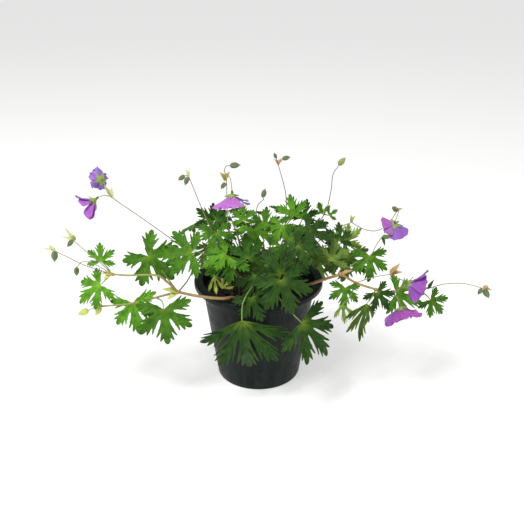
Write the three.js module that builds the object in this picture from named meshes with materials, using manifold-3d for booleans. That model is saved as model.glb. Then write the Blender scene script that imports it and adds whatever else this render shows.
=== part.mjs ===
// Hardy geranium growing in a plain plastic nursery pot.
// Millimetres, +Z up. The origin is the middle of the pot's underside.

import * as THREE from 'three';
import { mergeVertices } from 'three/addons/utils/BufferGeometryUtils.js';
import Module from 'manifold-3d';

const wasm = await Module();
wasm.setup();

// ---------------------------------------------------------------- driving dimensions

const POT = {
  height: 107,
  lipRadius: 65,
  lipHeight: 6,
  lipSkirt: 1.2,
  wallTopRadius: 57.6,
  baseRadius: 43.4,
  wall: 1.4,
  floor: 1.6,
  drainHoles: 8,
  drainRadius: 3.4,
  drainCircle: 33,
  facets: 26,
};

const SOIL = {
  top: 96,
  lump: 1.3,
  gap: 0.35,
  rings: [16, 38],
  holeDepth: 12,
  holeGap: 0.6,
};

const STALK = {
  crown: 2,
  trailing: 1.5,
  branch: 1.2,
  flower: 0.75,
  petiole: 0.65,
  pedicel: 0.6,
  petioleStep: 38,
};

const LEAF = {
  thickness: 0.7,
  sinus: 0.3,
  sideTooth: [0.78, 0.26],
  notch: [0.74, 0.13],
  shoulder: [0.62, 0.22],
  fold: 0.25,
  droop: 0.18,
  wave: 0.05,
  toothedFrom: 28,
  lobes: [
    { turn: -104, length: 0.76 },
    { turn: -50, length: 0.9 },
    { turn: 0, length: 1 },
    { turn: 50, length: 0.9 },
    { turn: 104, length: 0.76 },
  ],
  youngLobes: [
    { turn: -68, length: 0.85 },
    { turn: 0, length: 1 },
    { turn: 68, length: 0.85 },
  ],
};

const PETAL = {
  count: 5,
  thickness: 0.6,
  outline: [[0.3, 0], [0.5, 0.3], [0.84, 0.38]],
  lift: 0.5,
  start: 0.6,
};

const SEPAL = { length: 8.5, outline: [[0.2, 0], [0.5, 0.19]], start: -0.35, behindPetals: 26 };
const BUD = { length: 10.5, radius: 2.9, sides: 4 };
const STIPULE = { width: 3, thickness: 0.6 };

const COLOURS = {
  pot: 0x2b3230,
  soil: 0x2e241c,
  leaf: 0x3f7d2b,
  shoot: 0x55852f,
  flowerStem: 0x6f8a55,
  petal: 0xa94fc4,
};

// ---------------------------------------------------------------- solids

const SMALLEST_EDGE = 0.04;
const UP = new THREE.Vector3(0, 0, 1);
const vec = (p) => new THREE.Vector3(...p);
const rad = THREE.MathUtils.degToRad;

function toSolid(geometry) {
  const bare = geometry.clone();
  bare.deleteAttribute('normal');
  bare.deleteAttribute('uv');
  const merged = mergeVertices(bare, 1e-4);
  const mesh = new wasm.Mesh({
    numProp: 3,
    vertProperties: new Float32Array(merged.attributes.position.array),
    triVerts: new Uint32Array(merged.index.array),
  });
  return new wasm.Manifold(mesh);
}

function toGeometry(solid) {
  const mesh = solid.getMesh();
  const geometry = new THREE.BufferGeometry();
  geometry.setAttribute('position', new THREE.BufferAttribute(mesh.vertProperties, 3));
  geometry.setIndex(new THREE.BufferAttribute(mesh.triVerts, 1));
  geometry.computeVertexNormals();
  return geometry;
}

// Joins solids into one, without the tiny faces that are left where they cross.
function fuse(geometries) {
  const solids = geometries.flat(Infinity).map(toSolid);
  const whole = solids.reduce((joined, next) => joined.add(next));
  return toGeometry(whole.asOriginal().simplify(SMALLEST_EDGE));
}

function piece(name, geometry, color, roughness) {
  const material = new THREE.MeshStandardMaterial({ color, roughness, metalness: 0 });
  const mesh = new THREE.Mesh(geometry, material);
  mesh.name = name;
  return mesh;
}

// A round stalk of few sides along a smooth curve through the points.
function stalk(points, radius, sides = 4, stepLength = 16) {
  const path = new THREE.CatmullRomCurve3(points.map(vec));
  const section = new THREE.Shape();
  for (let i = 0; i < sides; i++) {
    const angle = (2 * Math.PI * i) / sides;
    const corner = [radius * Math.cos(angle), radius * Math.sin(angle)];
    if (i === 0) section.moveTo(...corner);
    else section.lineTo(...corner);
  }
  const steps = points.length === 2 ? 1 : Math.max(2, Math.round(path.getLength() / stepLength));
  return new THREE.ExtrudeGeometry(section, { steps, bevelEnabled: false, extrudePath: path });
}

// Turns a curved sheet of triangles into a closed blade of even thickness.
function thicken(points, triangles, thickness) {
  const middle = new THREE.BufferGeometry().setFromPoints(points);
  middle.setIndex(triangles.flat());
  middle.computeVertexNormals();
  const normal = middle.attributes.normal;
  const faces = [];
  const open = new Map();
  const count = points.length;
  for (const [a, b, c] of triangles) {
    faces.push([a, b, c], [c + count, b + count, a + count]);
    for (const [from, to] of [[a, b], [b, c], [c, a]]) {
      if (!open.delete(`${to},${from}`)) open.set(`${from},${to}`, [from, to]);
    }
  }
  for (const [a, b] of open.values()) {
    faces.push([a + count, b + count, b], [a + count, b, a]);
  }
  const shift = (side) => points.map((p, i) => (
    new THREE.Vector3().fromBufferAttribute(normal, i).multiplyScalar(side * thickness / 2).add(p)
  ));
  const blade = new THREE.BufferGeometry().setFromPoints([...shift(1), ...shift(-1)]);
  blade.setIndex(faces.flat());
  return blade;
}

// Axes of a blade that grows from one point towards another, with its face to one side.
function bladeAxes(along, face) {
  const forward = along.clone().normalize();
  const normal = face.clone().addScaledVector(forward, -face.dot(forward)).normalize();
  const side = forward.clone().cross(normal);
  return { forward, normal, side };
}

// A lathe-turned body with its foot at a point and its axis in a direction.
function turned(profile, sides, foot, direction) {
  const body = new THREE.LatheGeometry(profile.map(([r, h]) => new THREE.Vector2(r, h)), sides);
  const turn = new THREE.Quaternion().setFromUnitVectors(
    new THREE.Vector3(0, 1, 0), direction.clone().normalize());
  return body.applyQuaternion(turn).translate(foot.x, foot.y, foot.z);
}

// ---------------------------------------------------------------- leaves

// The lobed outline of a leaf one unit long: points with how far each lies off its lobe's rib.
// The first two points are the left and right side of the stalk's end. A lobe has a tooth on
// each side, or only a shoulder if it isn't toothed.
function lobedOutline(lobes, toothed = true) {
  const points = [{ x: 0, y: 0, off: 0, stalk: -1 }, { x: 0, y: 0, off: 0, stalk: 1 }];
  const triangles = [];
  const put = (turn, along, off) => {
    const a = rad(turn);
    points.push({
      x: along * Math.sin(a) + off * Math.cos(a),
      y: along * Math.cos(a) - off * Math.sin(a),
      off: Math.abs(off),
    });
    return points.length - 1;
  };
  const sinuses = lobes.slice(1).map((lobe, i) => {
    const index = put((lobes[i].turn + lobe.turn) / 2, LEAF.sinus, 0);
    points[index].off = LEAF.sinus / 2;
    return index;
  });
  lobes.forEach(({ turn, length }, i) => {
    const tip = put(turn, length, 0);
    const inner = [-1, 1].map((hand) => {
      const foot = (turn || hand) < 0 ? 0 : 1;
      const [along, off] = toothed ? LEAF.notch : LEAF.shoulder;
      const notch = put(turn, along * length, hand * off * length);
      const sinus = sinuses[hand < 0 ? i - 1 : i];
      const fan = sinus === undefined ? [] : [[foot, sinus, notch]];
      if (toothed) {
        const tooth = put(turn, LEAF.sideTooth[0] * length, hand * LEAF.sideTooth[1] * length);
        fan.push([sinus ?? foot, tooth, notch]);
      }
      triangles.push(...fan.map((t) => (hand > 0 ? t : t.toReversed())));
      return { foot, notch };
    });
    const [left, right] = inner;
    triangles.push([left.foot, right.notch, left.notch], [right.notch, tip, left.notch]);
    if (left.foot !== right.foot) triangles.push([left.foot, right.foot, right.notch]);
  });
  return { points, triangles };
}

const GROWN = lobedOutline(LEAF.lobes);
const YOUNG = lobedOutline(LEAF.youngLobes);

// Simpler outlines: those of small leaves, and of the smallest ones on a stem.
const PLAIN = lobedOutline(LEAF.lobes, false);
const SMALL = { outline: lobedOutline(LEAF.youngLobes, false) };

// A young leaf that is still folded and curled up towards its face.
const CURLED = { outline: YOUNG, droop: -0.4, spread: 0.6 };

// A leaf with the flat stalk that carries it, in one blade of even thickness. The stalk's
// points run from the stem to the foot of the blade, and the tip is that of the middle lobe.
// A spread below one draws the lobes together like a half-closed fan.
function leafOn(stalkPoints, tip, face, form = {}) {
  const at = stalkPoints.at(-1);
  const foot = vec(at);
  const along = vec(tip).sub(foot);
  const size = along.length();
  const usual = size < LEAF.toothedFrom ? PLAIN : GROWN;
  const { outline = usual, droop = LEAF.droop, spread = 1 } = form;
  const { forward, normal, side } = bladeAxes(along, vec(face));
  const phase = 0.37 * at[0] + 0.21 * at[1];
  const points = outline.points.map(({ x, y, off, stalk }) => {
    const reach = Math.hypot(x, y);
    const turn = spread * Math.atan2(x, y);
    const ripple = LEAF.wave * reach * Math.sin(2 * turn + phase);
    const height = LEAF.fold * off - droop * reach * reach + ripple;
    return foot.clone()
      .addScaledVector(side, reach * Math.sin(turn) * size + (stalk ?? 0) * STALK.petiole)
      .addScaledVector(forward, reach * Math.cos(turn) * size)
      .addScaledVector(normal, height * size);
  });
  const triangles = [...outline.triangles];
  const path = new THREE.CatmullRomCurve3(stalkPoints.map(vec));
  const steps = Math.max(1, Math.round(path.getLength() / STALK.petioleStep));
  for (let i = steps - 1; i >= 0; i--) {
    const next = i === steps - 1 ? [0, 1] : [points.length - 2, points.length - 1];
    const place = path.getPointAt(i / steps);
    const tangent = path.getTangentAt(i / steps);
    const across = side.clone().addScaledVector(tangent, -side.dot(tangent)).setLength(STALK.petiole);
    points.push(place.clone().sub(across), place.clone().add(across));
    const [left, right] = [points.length - 2, points.length - 1];
    triangles.push([left, right, next[1]], [left, next[1], next[0]]);
  }
  return thicken(points, triangles, LEAF.thickness);
}

const inSoil = ([x, y]) => [x, y, SOIL.top - SOIL.holeDepth + SOIL.gap];

// A stem that stands upright in its hole and then follows the points.
function rooted([x, y], points, radius) {
  const collar = [x, y, SOIL.top + 3];
  const start = [x, y, SOIL.top + 2];
  return [stalk([inSoil([x, y]), collar], radius), stalk([start, ...points], radius)];
}

// A clump of leaves whose stalks fan out from one short stem in the soil.
function tuft([x, y], leaves) {
  const head = SOIL.top + 8;
  const parts = [stalk([inSoil([x, y]), [x, y, head]], STALK.crown, 5)];
  for (const { at, tip, face, via, ...form } of leaves) {
    const rise = via ?? [[x + 0.4 * (at[0] - x), y + 0.4 * (at[1] - y), head + 0.62 * (at[2] - head)]];
    parts.push(leafOn([[x, y, SOIL.top + 5], ...rise, at], tip, face, form));
  }
  return fuse(parts);
}

// ---------------------------------------------------------------- buds, bracts and flowers

function bud(foot, tip, scale = 1) {
  const axis = vec(tip).sub(vec(foot));
  const length = BUD.length * scale;
  const radius = BUD.radius * scale;
  const profile = [
    [0, -0.8], [0.75 * radius, 0.15 * length], [radius, 0.42 * length],
    [0.35 * radius, 0.85 * length], [0, length],
  ];
  return turned(profile, BUD.sides, vec(foot), axis);
}

// The swollen joint of a stem, where branches leave it.
function knob(at, radius) {
  return new THREE.OctahedronGeometry(radius, 0).translate(...at);
}

// Pointed bracts that spread from a joint of the stem towards the given tips.
function bracts(at, tips, width = STIPULE.width) {
  const foot = vec(at);
  return tips.map((tip) => {
    const along = vec(tip).sub(foot);
    const { forward, normal, side } = bladeAxes(along, UP.clone().addScaledVector(vec([0, -1, 0]), 0.6));
    const reach = along.length();
    const place = (x, y, z) => foot.clone()
      .addScaledVector(side, x).addScaledVector(forward, y).addScaledVector(normal, z);
    const points = [
      place(0, -0.5, 0),
      place(width / 2, 0.4 * reach, 0.4),
      place(0, reach, 0),
      place(-width / 2, 0.4 * reach, 0.4),
    ];
    return thicken(points, [[0, 1, 2], [0, 2, 3]], STIPULE.thickness);
  });
}

// Places a point of a flower: out from its axis at an angle, at a height along the axis.
function flowerFrame(foot, facing) {
  const axis = vec(facing).normalize();
  const start = Math.abs(axis.z) > 0.9 ? new THREE.Vector3(1, 0, 0) : UP;
  const east = start.clone().addScaledVector(axis, -start.dot(axis)).normalize();
  const north = axis.clone().cross(east);
  return (angle, out, across, height) => {
    const outward = east.clone().multiplyScalar(Math.cos(angle)).addScaledVector(north, Math.sin(angle));
    const sideways = axis.clone().cross(outward);
    return vec(foot).addScaledVector(outward, out).addScaledVector(sideways, across)
      .addScaledVector(axis, height);
  };
}

// Where a blade that leans from one angle to another off the flower's axis has got to.
function lean(length, along, [from, to]) {
  const angle = rad(from + (to - from) * along / 2);
  return { out: length * along * Math.sin(angle), height: length * along * Math.cos(angle) };
}

// One sheet with five blades round a flower's axis. Each blade is given by its half outline,
// from the valley beside it to its tip, as shares of its length: [along, half width].
function whorl(foot, facing, length, spread, outline, start, lift, turn) {
  const place = flowerFrame(foot, facing);
  const step = (2 * Math.PI) / PETAL.count;
  const points = [place(0, 0, 0, start)];
  const triangles = [];
  const put = (angle, along, half) => {
    const { out, height } = lean(length, along, spread);
    points.push(place(angle, out, half * length, height + start + lift * length * half * half));
    return points.length - 1;
  };
  const valley = [];
  for (let i = 0; i < PETAL.count; i++) valley.push(put((i - 0.5 + turn) * step, outline[0][0], 0));
  const sides = outline.slice(1);
  for (let i = 0; i < PETAL.count; i++) {
    const angle = (i + turn) * step;
    const rib = sides.map(([along]) => put(angle, along, 0));
    const tip = put(angle, 1, 0);
    for (const hand of [-1, 1]) {
      const edge = sides.map(([along, half]) => put(angle, along, hand * half));
      const foot = valley[hand < 0 ? i : (i + 1) % PETAL.count];
      const fan = [[0, foot, rib[0]], [foot, edge[0], rib[0]], [edge.at(-1), tip, rib.at(-1)]];
      for (let k = 1; k < sides.length; k++) {
        fan.push([edge[k - 1], edge[k], rib[k]], [edge[k - 1], rib[k], rib[k - 1]]);
      }
      triangles.push(...fan.map((t) => (hand > 0 ? t : t.toReversed())));
    }
  }
  return thicken(points, triangles, PETAL.thickness);
}

// Where a flower's stalk enters its cup.
const cupFoot = ({ at, facing }) => vec(at).addScaledVector(vec(facing).normalize(), -2).toArray();

// The green cup under a flower with its five pointed sepals, which lie between the petals.
function calyx({ at, facing, spread }) {
  const axis = vec(facing).normalize();
  const cup = turned([[0, -3.2], [1.6, -1.8], [0, SEPAL.start]], 4, vec(at), axis);
  const reach = spread.map((angle) => angle + SEPAL.behindPetals);
  return [cup, whorl(at, facing, SEPAL.length, reach, SEPAL.outline, SEPAL.start, 0, 0.5)];
}

// Five broad petals with the column of the flower in the middle.
function corolla({ at, facing, length, spread }) {
  const column = [[0, PETAL.start], [0.6, PETAL.start], [0.9, PETAL.start + 6], [0, PETAL.start + 7]];
  return fuse([
    turned(column, 4, vec(at), vec(facing).normalize()),
    whorl(at, facing, length, spread, PETAL.outline, PETAL.start, PETAL.lift, 0),
  ]);
}

// ---------------------------------------------------------------- pot and soil

const innerRadius = (z) => {
  const share = (z - POT.floor) / (POT.height - POT.lipSkirt - POT.floor);
  const low = POT.baseRadius - POT.wall;
  const high = POT.wallTopRadius - POT.wall;
  return low + (high - low) * share;
};

function latheZ(profile, facets) {
  const points = profile.map(([r, z]) => new THREE.Vector2(r, z));
  return new THREE.LatheGeometry(points, facets).rotateX(Math.PI / 2);
}

function pot() {
  const underLip = POT.height - POT.lipSkirt;
  const skirtFoot = POT.height - POT.lipHeight;
  const skirtInside = POT.lipRadius - POT.lipSkirt;
  const shell = latheZ([
    [0, 0],
    [POT.baseRadius - 1.4, 0],
    [POT.baseRadius, 1.4],
    [POT.wallTopRadius, underLip],
    [skirtInside, underLip],
    [skirtInside, skirtFoot],
    [POT.lipRadius, skirtFoot],
    [POT.lipRadius, POT.height - 0.8],
    [POT.lipRadius - 0.8, POT.height],
    [POT.wallTopRadius - 0.8, POT.height],
    [innerRadius(underLip), underLip],
    [innerRadius(POT.floor), POT.floor],
    [0, POT.floor],
  ], POT.facets);
  let body = toSolid(shell);
  for (let i = 0; i < POT.drainHoles; i++) {
    const angle = (2 * Math.PI * (i + 0.5)) / POT.drainHoles;
    const drill = new THREE.CylinderGeometry(POT.drainRadius, POT.drainRadius, 4 * POT.floor, 6);
    drill.rotateX(Math.PI / 2);
    drill.translate(POT.drainCircle * Math.cos(angle), POT.drainCircle * Math.sin(angle), 0);
    body = body.subtract(toSolid(drill));
  }
  return toGeometry(body);
}

// Potting mix: a tapered plug with a lumpy top and a plain hole for each stem.
function soil(holes) {
  const foot = POT.floor + SOIL.gap;
  const edge = innerRadius(SOIL.top) - SOIL.gap;
  const plug = latheZ([
    [0, foot],
    [innerRadius(foot) - SOIL.gap, foot],
    [edge, SOIL.top - 1.5],
    ...SOIL.rings.toReversed().map((r) => [r, SOIL.top]),
    [0, SOIL.top],
  ], POT.facets);
  const place = plug.attributes.position;
  for (let i = 0; i < place.count; i++) {
    const [x, y, z] = [place.getX(i), place.getY(i), place.getZ(i)];
    const broad = Math.sin(0.31 * x + 1.3) * Math.cos(0.27 * y);
    const fine = 0.4 * Math.sin(0.9 * (x + y));
    if (z > SOIL.top - 1) place.setZ(i, z + SOIL.lump * (broad + fine));
  }
  let body = toSolid(plug);
  for (const { x, y, radius } of holes) {
    const drill = new THREE.CylinderGeometry(radius, radius, 2 * SOIL.holeDepth, 6);
    drill.rotateX(Math.PI / 2);
    drill.translate(x, y, SOIL.top);
    body = body.subtract(toSolid(drill));
  }
  return toGeometry(body);
}

// ---------------------------------------------------------------- the plant

// Where each stem stands in the soil, seen from above.
const ROOTS = {
  shootLeft: [-12, -26],
  shootRight: [22, -20],
  flowerLeft: [-27, -6],
  flowerCentre: [-19, -18],
  flowerRight: [31, 10],
  budLeft: [-30, 4],
  budMiddle: [0, 2],
  budTall: [13, 11],
  budRight: [25, 18],
  tuftFront: [4, -24],
  tuftFrontRight: [14, -12],
  tuftFrontLeft: [-9, -12],
  tuftYoung: [-26, -30],
  tuftLeft: [-19, 8],
  tuftTop: [4, -6],
  tuftRight: [26, -2],
  tuftBackLeft: [-15, 20],
  tuftBack: [2, 24],
  tuftBackRight: [16, 28],
};

const TUFTS = {
  tuftFront: [
    { at: [21, -70, 137], tip: [33, -83, 108], face: [0, -0.8, 0.6] },
    {
      at: [-15, -72, 97], tip: [-8, -77, 34], face: [0, -1, 0.15], droop: 0.14, spread: 0.6,
      via: [[-5, -52, 122], [-14, -69, 113]],
    },
    { at: [-6, -62, 115], tip: [4, -73, 96], face: [0.1, -0.8, 0.6] },
    { at: [-3, -49, 133], tip: [-12, -57, 110], face: [-0.1, -0.8, 0.6], spread: 0.8 },
    { at: [6, -44, 141], tip: [-5, -49, 123], face: [-0.1, -0.8, 0.6] },
    { at: [21, -61, 139], tip: [4, -53, 161], face: [0, -0.9, 0.45] },
    { at: [-10, -46, 148], tip: [-12, -38, 170], face: [0, -0.9, 0.45] },
  ],
  tuftFrontRight: [
    {
      at: [40, -71, 94], tip: [70, -78, 64], face: [0.4, -0.8, 0.65], spread: 0.8,
      via: [[16, -50, 119], [22, -65, 112]],
    },
    { at: [36, -48, 161], tip: [59, -54, 158], face: [0.15, -0.7, 0.7] },
    { at: [70, -29, 138], tip: [73, -20, 158], face: [0.1, 0.9, 0.3] },
    { at: [46, -22, 166], tip: [71, -30, 160], face: [0.15, -0.7, 0.7] },
    { at: [29, -30, 161], tip: [52, -38, 160], face: [0.1, -0.7, 0.7] },
    { at: [31, -42, 141], tip: [36, -54, 123], face: [0.1, -0.6, 0.8] },
    { at: [22, -33, 155], tip: [12, -42, 139], face: [-0.1, -0.7, 0.7], spread: 0.8 },
    { at: [53, -28, 144], tip: [67, -36, 136], face: [0.2, -0.6, 0.75] },
    { at: [86, -14, 137], tip: [85, -20, 107], face: [0.1, -0.8, 0.6] },
  ],
  tuftFrontLeft: [
    { at: [-39, -27, 166], tip: [-30, -39, 151], face: [-0.1, -0.7, 0.7], via: [[-20, -26, 140]] },
    { at: [-30, -48, 152], tip: [-52, -55, 149], face: [-0.1, -0.45, 0.9] },
    { at: [-25, -40, 147], tip: [-49, -48, 131], face: [-0.2, -0.7, 0.7] },
    { at: [-23, -39, 141], tip: [-29, -31, 160], face: [0, -0.9, 0.45] },
  ],
  tuftYoung: [
    { at: [-42, -38, 127], tip: [-39, -42, 110], face: [-0.1, -0.9, 0.45], ...CURLED, spread: 0.4 },
    { at: [-35, -38, 113], tip: [-24, -42, 126], face: [0.1, -0.9, 0.45], ...CURLED, spread: 0.4 },
  ],
  tuftLeft: [
    { at: [-45, 12, 163], tip: [-60, 8, 177], face: [-0.2, -0.8, 0.5] },
    { at: [-66, 32, 152], tip: [-88, 38, 136], face: [-0.6, 0.25, 0.75] },
    { at: [-74, 10, 134], tip: [-97, 8, 114], face: [-0.8, 0, 0.5] },
    { at: [-43, 0, 157], tip: [-59, -4, 164], face: [-0.2, -0.75, 0.6] },
    { at: [-42, 4, 167], tip: [-26, 8, 170], face: [0.1, -0.55, 0.85] },
  ],
  tuftTop: [
    { at: [-14, -12, 173], tip: [-15, -8, 188], face: [0, -0.85, 0.5] },
    { at: [6, -5, 163], tip: [8, 1, 182], face: [0, -0.85, 0.5] },
    { at: [34, -6, 175], tip: [30, 0, 195], face: [-0.1, -0.8, 0.55] },
    { at: [-4, -21, 167], tip: [0, -35, 151], face: [0, -0.65, 0.75] },
    { at: [22, -14, 168], tip: [13, -26, 155], face: [-0.1, -0.6, 0.8] },
  ],
  tuftRight: [
    { at: [83, -12, 150], tip: [101, -6, 161], face: [-0.2, 0.9, 0.1] },
    { at: [44, 6, 169], tip: [49, 10, 186], face: [0.2, -0.85, 0.5] },
    { at: [84, 34, 128], tip: [104, 42, 104], face: [0.8, 0.2, 0.5] },
    { at: [56, 42, 154], tip: [71, 50, 142], face: [0.5, 0.3, 0.8] },
    { at: [77, -18, 154], tip: [78, -12, 171], face: [0.05, -0.9, 0.45] },
  ],
  tuftBackLeft: [
    { at: [-33, 56, 158], tip: [-43, 76, 143], face: [-0.25, 0.5, 0.8] },
    { at: [-52, 64, 114], tip: [-68, 80, 88], face: [-0.6, 0.75, 0.35], via: [[-32, 44, 124]] },
    { at: [-28, 28, 160], tip: [-36, 44, 154], face: [-0.2, 0.2, 0.95] },
    { at: [-34, 32, 152], tip: [-52, 30, 142], face: [-0.3, 0, 0.95] },
  ],
  tuftBack: [
    { at: [-6, 44, 161], tip: [-10, 65, 149], face: [0, 0.4, 0.9] },
    { at: [-8, 32, 153], tip: [-12, 50, 146], face: [-0.1, 0.2, 0.95] },
    { at: [-8, 74, 134], tip: [-12, 88, 108], face: [-0.1, 0.85, 0.55] },
    {
      at: [6, 80, 98], tip: [2, 84, 58], face: [0, 1, 0.15], droop: 0.14,
      via: [[5, 50, 116], [6, 72, 112]],
    },
  ],
  tuftBackRight: [
    { at: [30, 42, 164], tip: [40, 63, 151], face: [0.2, 0.4, 0.9] },
    { at: [26, 32, 150], tip: [31, 50, 142], face: [0.1, 0.3, 0.9] },
    { at: [56, 62, 134], tip: [74, 80, 114], face: [0.5, 0.6, 0.65] },
    { at: [32, 72, 130], tip: [37, 88, 102], face: [0.2, 0.9, 0.45] },
    {
      at: [62, 64, 100], tip: [76, 76, 70], face: [0.6, 0.7, 0.35],
      via: [[38, 44, 118], [56, 58, 112]],
    },
  ],
};

// The long reddish stem that trails over the pot's lip on the left.
function shootLeft() {
  const first = [-76, -44, 112];
  const second = [-138, -40, 129];
  const third = [-118, -53, 105];
  const end = [-148, -50, 100];
  const overLip = [[-19, -43, 104.5], [-25, -51, 110], [-33, -56, 111.5], [-54, -53, 112]];
  return fuse([
    rooted(ROOTS.shootLeft, [...overLip, first], STALK.trailing),
    stalk([first, [-88, -46, 110], third, end], STALK.branch),
    stalk([first, [-85, -47, 124], [-93, -50, 132], [-122, -49, 132], second], STALK.branch),
    knob(first, 2.4),
    knob(second, 2.2),
    bracts(first, [[-91, -47, 117], [-86, -52, 108]], 6),
    bracts(second, [[-148, -40, 130], [-146, -44, 125]], 5),
    leafOn([[-96, -48, 108], [-90, -54, 107], [-88, -60, 102]], [-85, -70, 68], [0.1, -0.9, 0.45]),
    leafOn([[-110, -52, 106], third], [-112, -64, 77], [-0.1, -0.8, 0.6]),
    leafOn([first, [-66, -40, 124], [-60, -38, 140], [-62, -40, 151]], [-94, -42, 153], [0, -0.7, 0.7]),
    leafOn(
      [first, [-86, -39, 124], [-96, -34, 136], [-104, -34, 145]], [-80, -40, 123], [0, -0.9, 0.4],
      { spread: 1.2 },
    ),
    leafOn([second, [-145, -32, 134], [-150, -30, 138]], [-150, -24, 155], [0, -1, 0.4]),
    leafOn([second, [-144, -42, 124], [-150, -42, 118]], [-172, -50, 106], [-0.1, -0.7, 0.7]),
    stalk([second, [-150, -37, 141], [-160, -35, 149], [-173, -33, 161]], STALK.pedicel),
    bracts([-172, -32, 160], [[-180, -32, 174], [-184, -32, 164]]),
    bud([-173, -33, 161], [-179, -36, 154], 0.85),
    bud([-171, -32, 160], [-176, -30, 167], 0.75),
    stalk([second, [-162, -42, 139], [-178, -42, 148], [-189, -40, 153]], STALK.pedicel),
    bracts([-188, -40, 153], [[-199, -42, 156], [-195, -40, 159]]),
    bud([-189, -40, 153], [-190, -42, 139], 1.1),
    stalk([second, [-156, -34, 137], [-166, -34, 139], [-172, -35, 134]], STALK.pedicel),
    bud([-172, -35, 134], [-173, -36, 124], 0.9),
    bracts(end, [[-160, -48, 102]], 5),
    bud([-149, -50.3, 99.4], [-158, -54, 87]),
    stalk([[-144, -50.4, 100.7], [-155, -49.5, 98.5], [-161, -50, 96]], STALK.pedicel),
    bud([-161, -50, 96], [-172, -52, 92], 1.15),
  ]);
}

const FLOWERS = {
  leftUpper: { at: [-142, -26, 217], facing: [-0.6, 0.85, -0.05], length: 14, spread: [44, 62] },
  leftLower: { at: [-148, -30, 200], facing: [-0.75, -0.2, -0.6], length: 17, spread: [34, 50] },
  centre: { at: [-23, -42, 209], facing: [0.05, -0.12, -1], length: 20, spread: [62, 66] },
  rightUpper: { at: [131, -10, 169], facing: [0.1, 0.5, -0.85], length: 17, spread: [58, 74] },
  rightOuter: { at: [143, -34, 118], facing: [1, -0.05, -0.3], length: 21, spread: [32, 54] },
  rightLower: { at: [136, -47, 98], facing: [0.25, -0.35, -0.9], length: 21, spread: [56, 70] },
};

// The stem with two flowers held high on the left.
function flowerStemLeft() {
  const fork = [-134, -26, 200];
  return fuse([
    rooted(ROOTS.flowerLeft, [[-42, -12, 113], [-58, -16, 132], [-86, -20, 159], fork], STALK.flower),
    bracts(fork, [[-141, -24, 211], [-133, -28, 211]], 4.5),
    stalk([fork, [-137, -29, 208], cupFoot(FLOWERS.leftUpper)], STALK.pedicel),
    stalk([fork, [-140, -28, 203], cupFoot(FLOWERS.leftLower)], STALK.pedicel),
    calyx(FLOWERS.leftUpper),
    calyx(FLOWERS.leftLower),
  ]);
}

// The upright stem with the large nodding flower over the middle.
function flowerStemCentre() {
  const joint = [-29, -18, 219];
  return fuse([
    rooted(ROOTS.flowerCentre, [[-26, -20, 140], [-29, -19, 180], joint], STALK.flower),
    bracts([-30, -18, 214], [[-35, -19, 222], [-26, -20, 223]], 5.5),
    stalk([joint, [-31, -18, 223], [-29, -18, 227.5], [-25, -18, 228]], STALK.pedicel),
    bud([-26, -18, 228], [-16, -18, 228.5]),
    bud([-30, -18.3, 212], [-36, -20, 204.5], 0.75),
    stalk([joint, [-26, -26, 220], [-24, -38, 218], cupFoot(FLOWERS.centre)], STALK.pedicel),
    calyx(FLOWERS.centre),
  ]);
}

function flowerStemRight() {
  const joint = [92, 8, 163];
  const fork = [136, 9, 174];
  return fuse([
    rooted(ROOTS.flowerRight, [[46, 16, 122], [74, 18, 150], joint], STALK.flower),
    bracts(joint, [[95, 4, 172], [88, 9, 171]]),
    stalk([joint, [104, 2, 158], [116, 3, 156], [127, 9, 159], [133, 12, 166], fork], STALK.pedicel),
    bracts(fork, [[141, 7, 178]], 4),
    bud([136, 8, 175], [130, 4, 181], 0.9),
    stalk([fork, [136, 1, 177], [133, -8, 175], cupFoot(FLOWERS.rightUpper)], STALK.pedicel),
    calyx(FLOWERS.rightUpper),
  ]);
}

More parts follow.
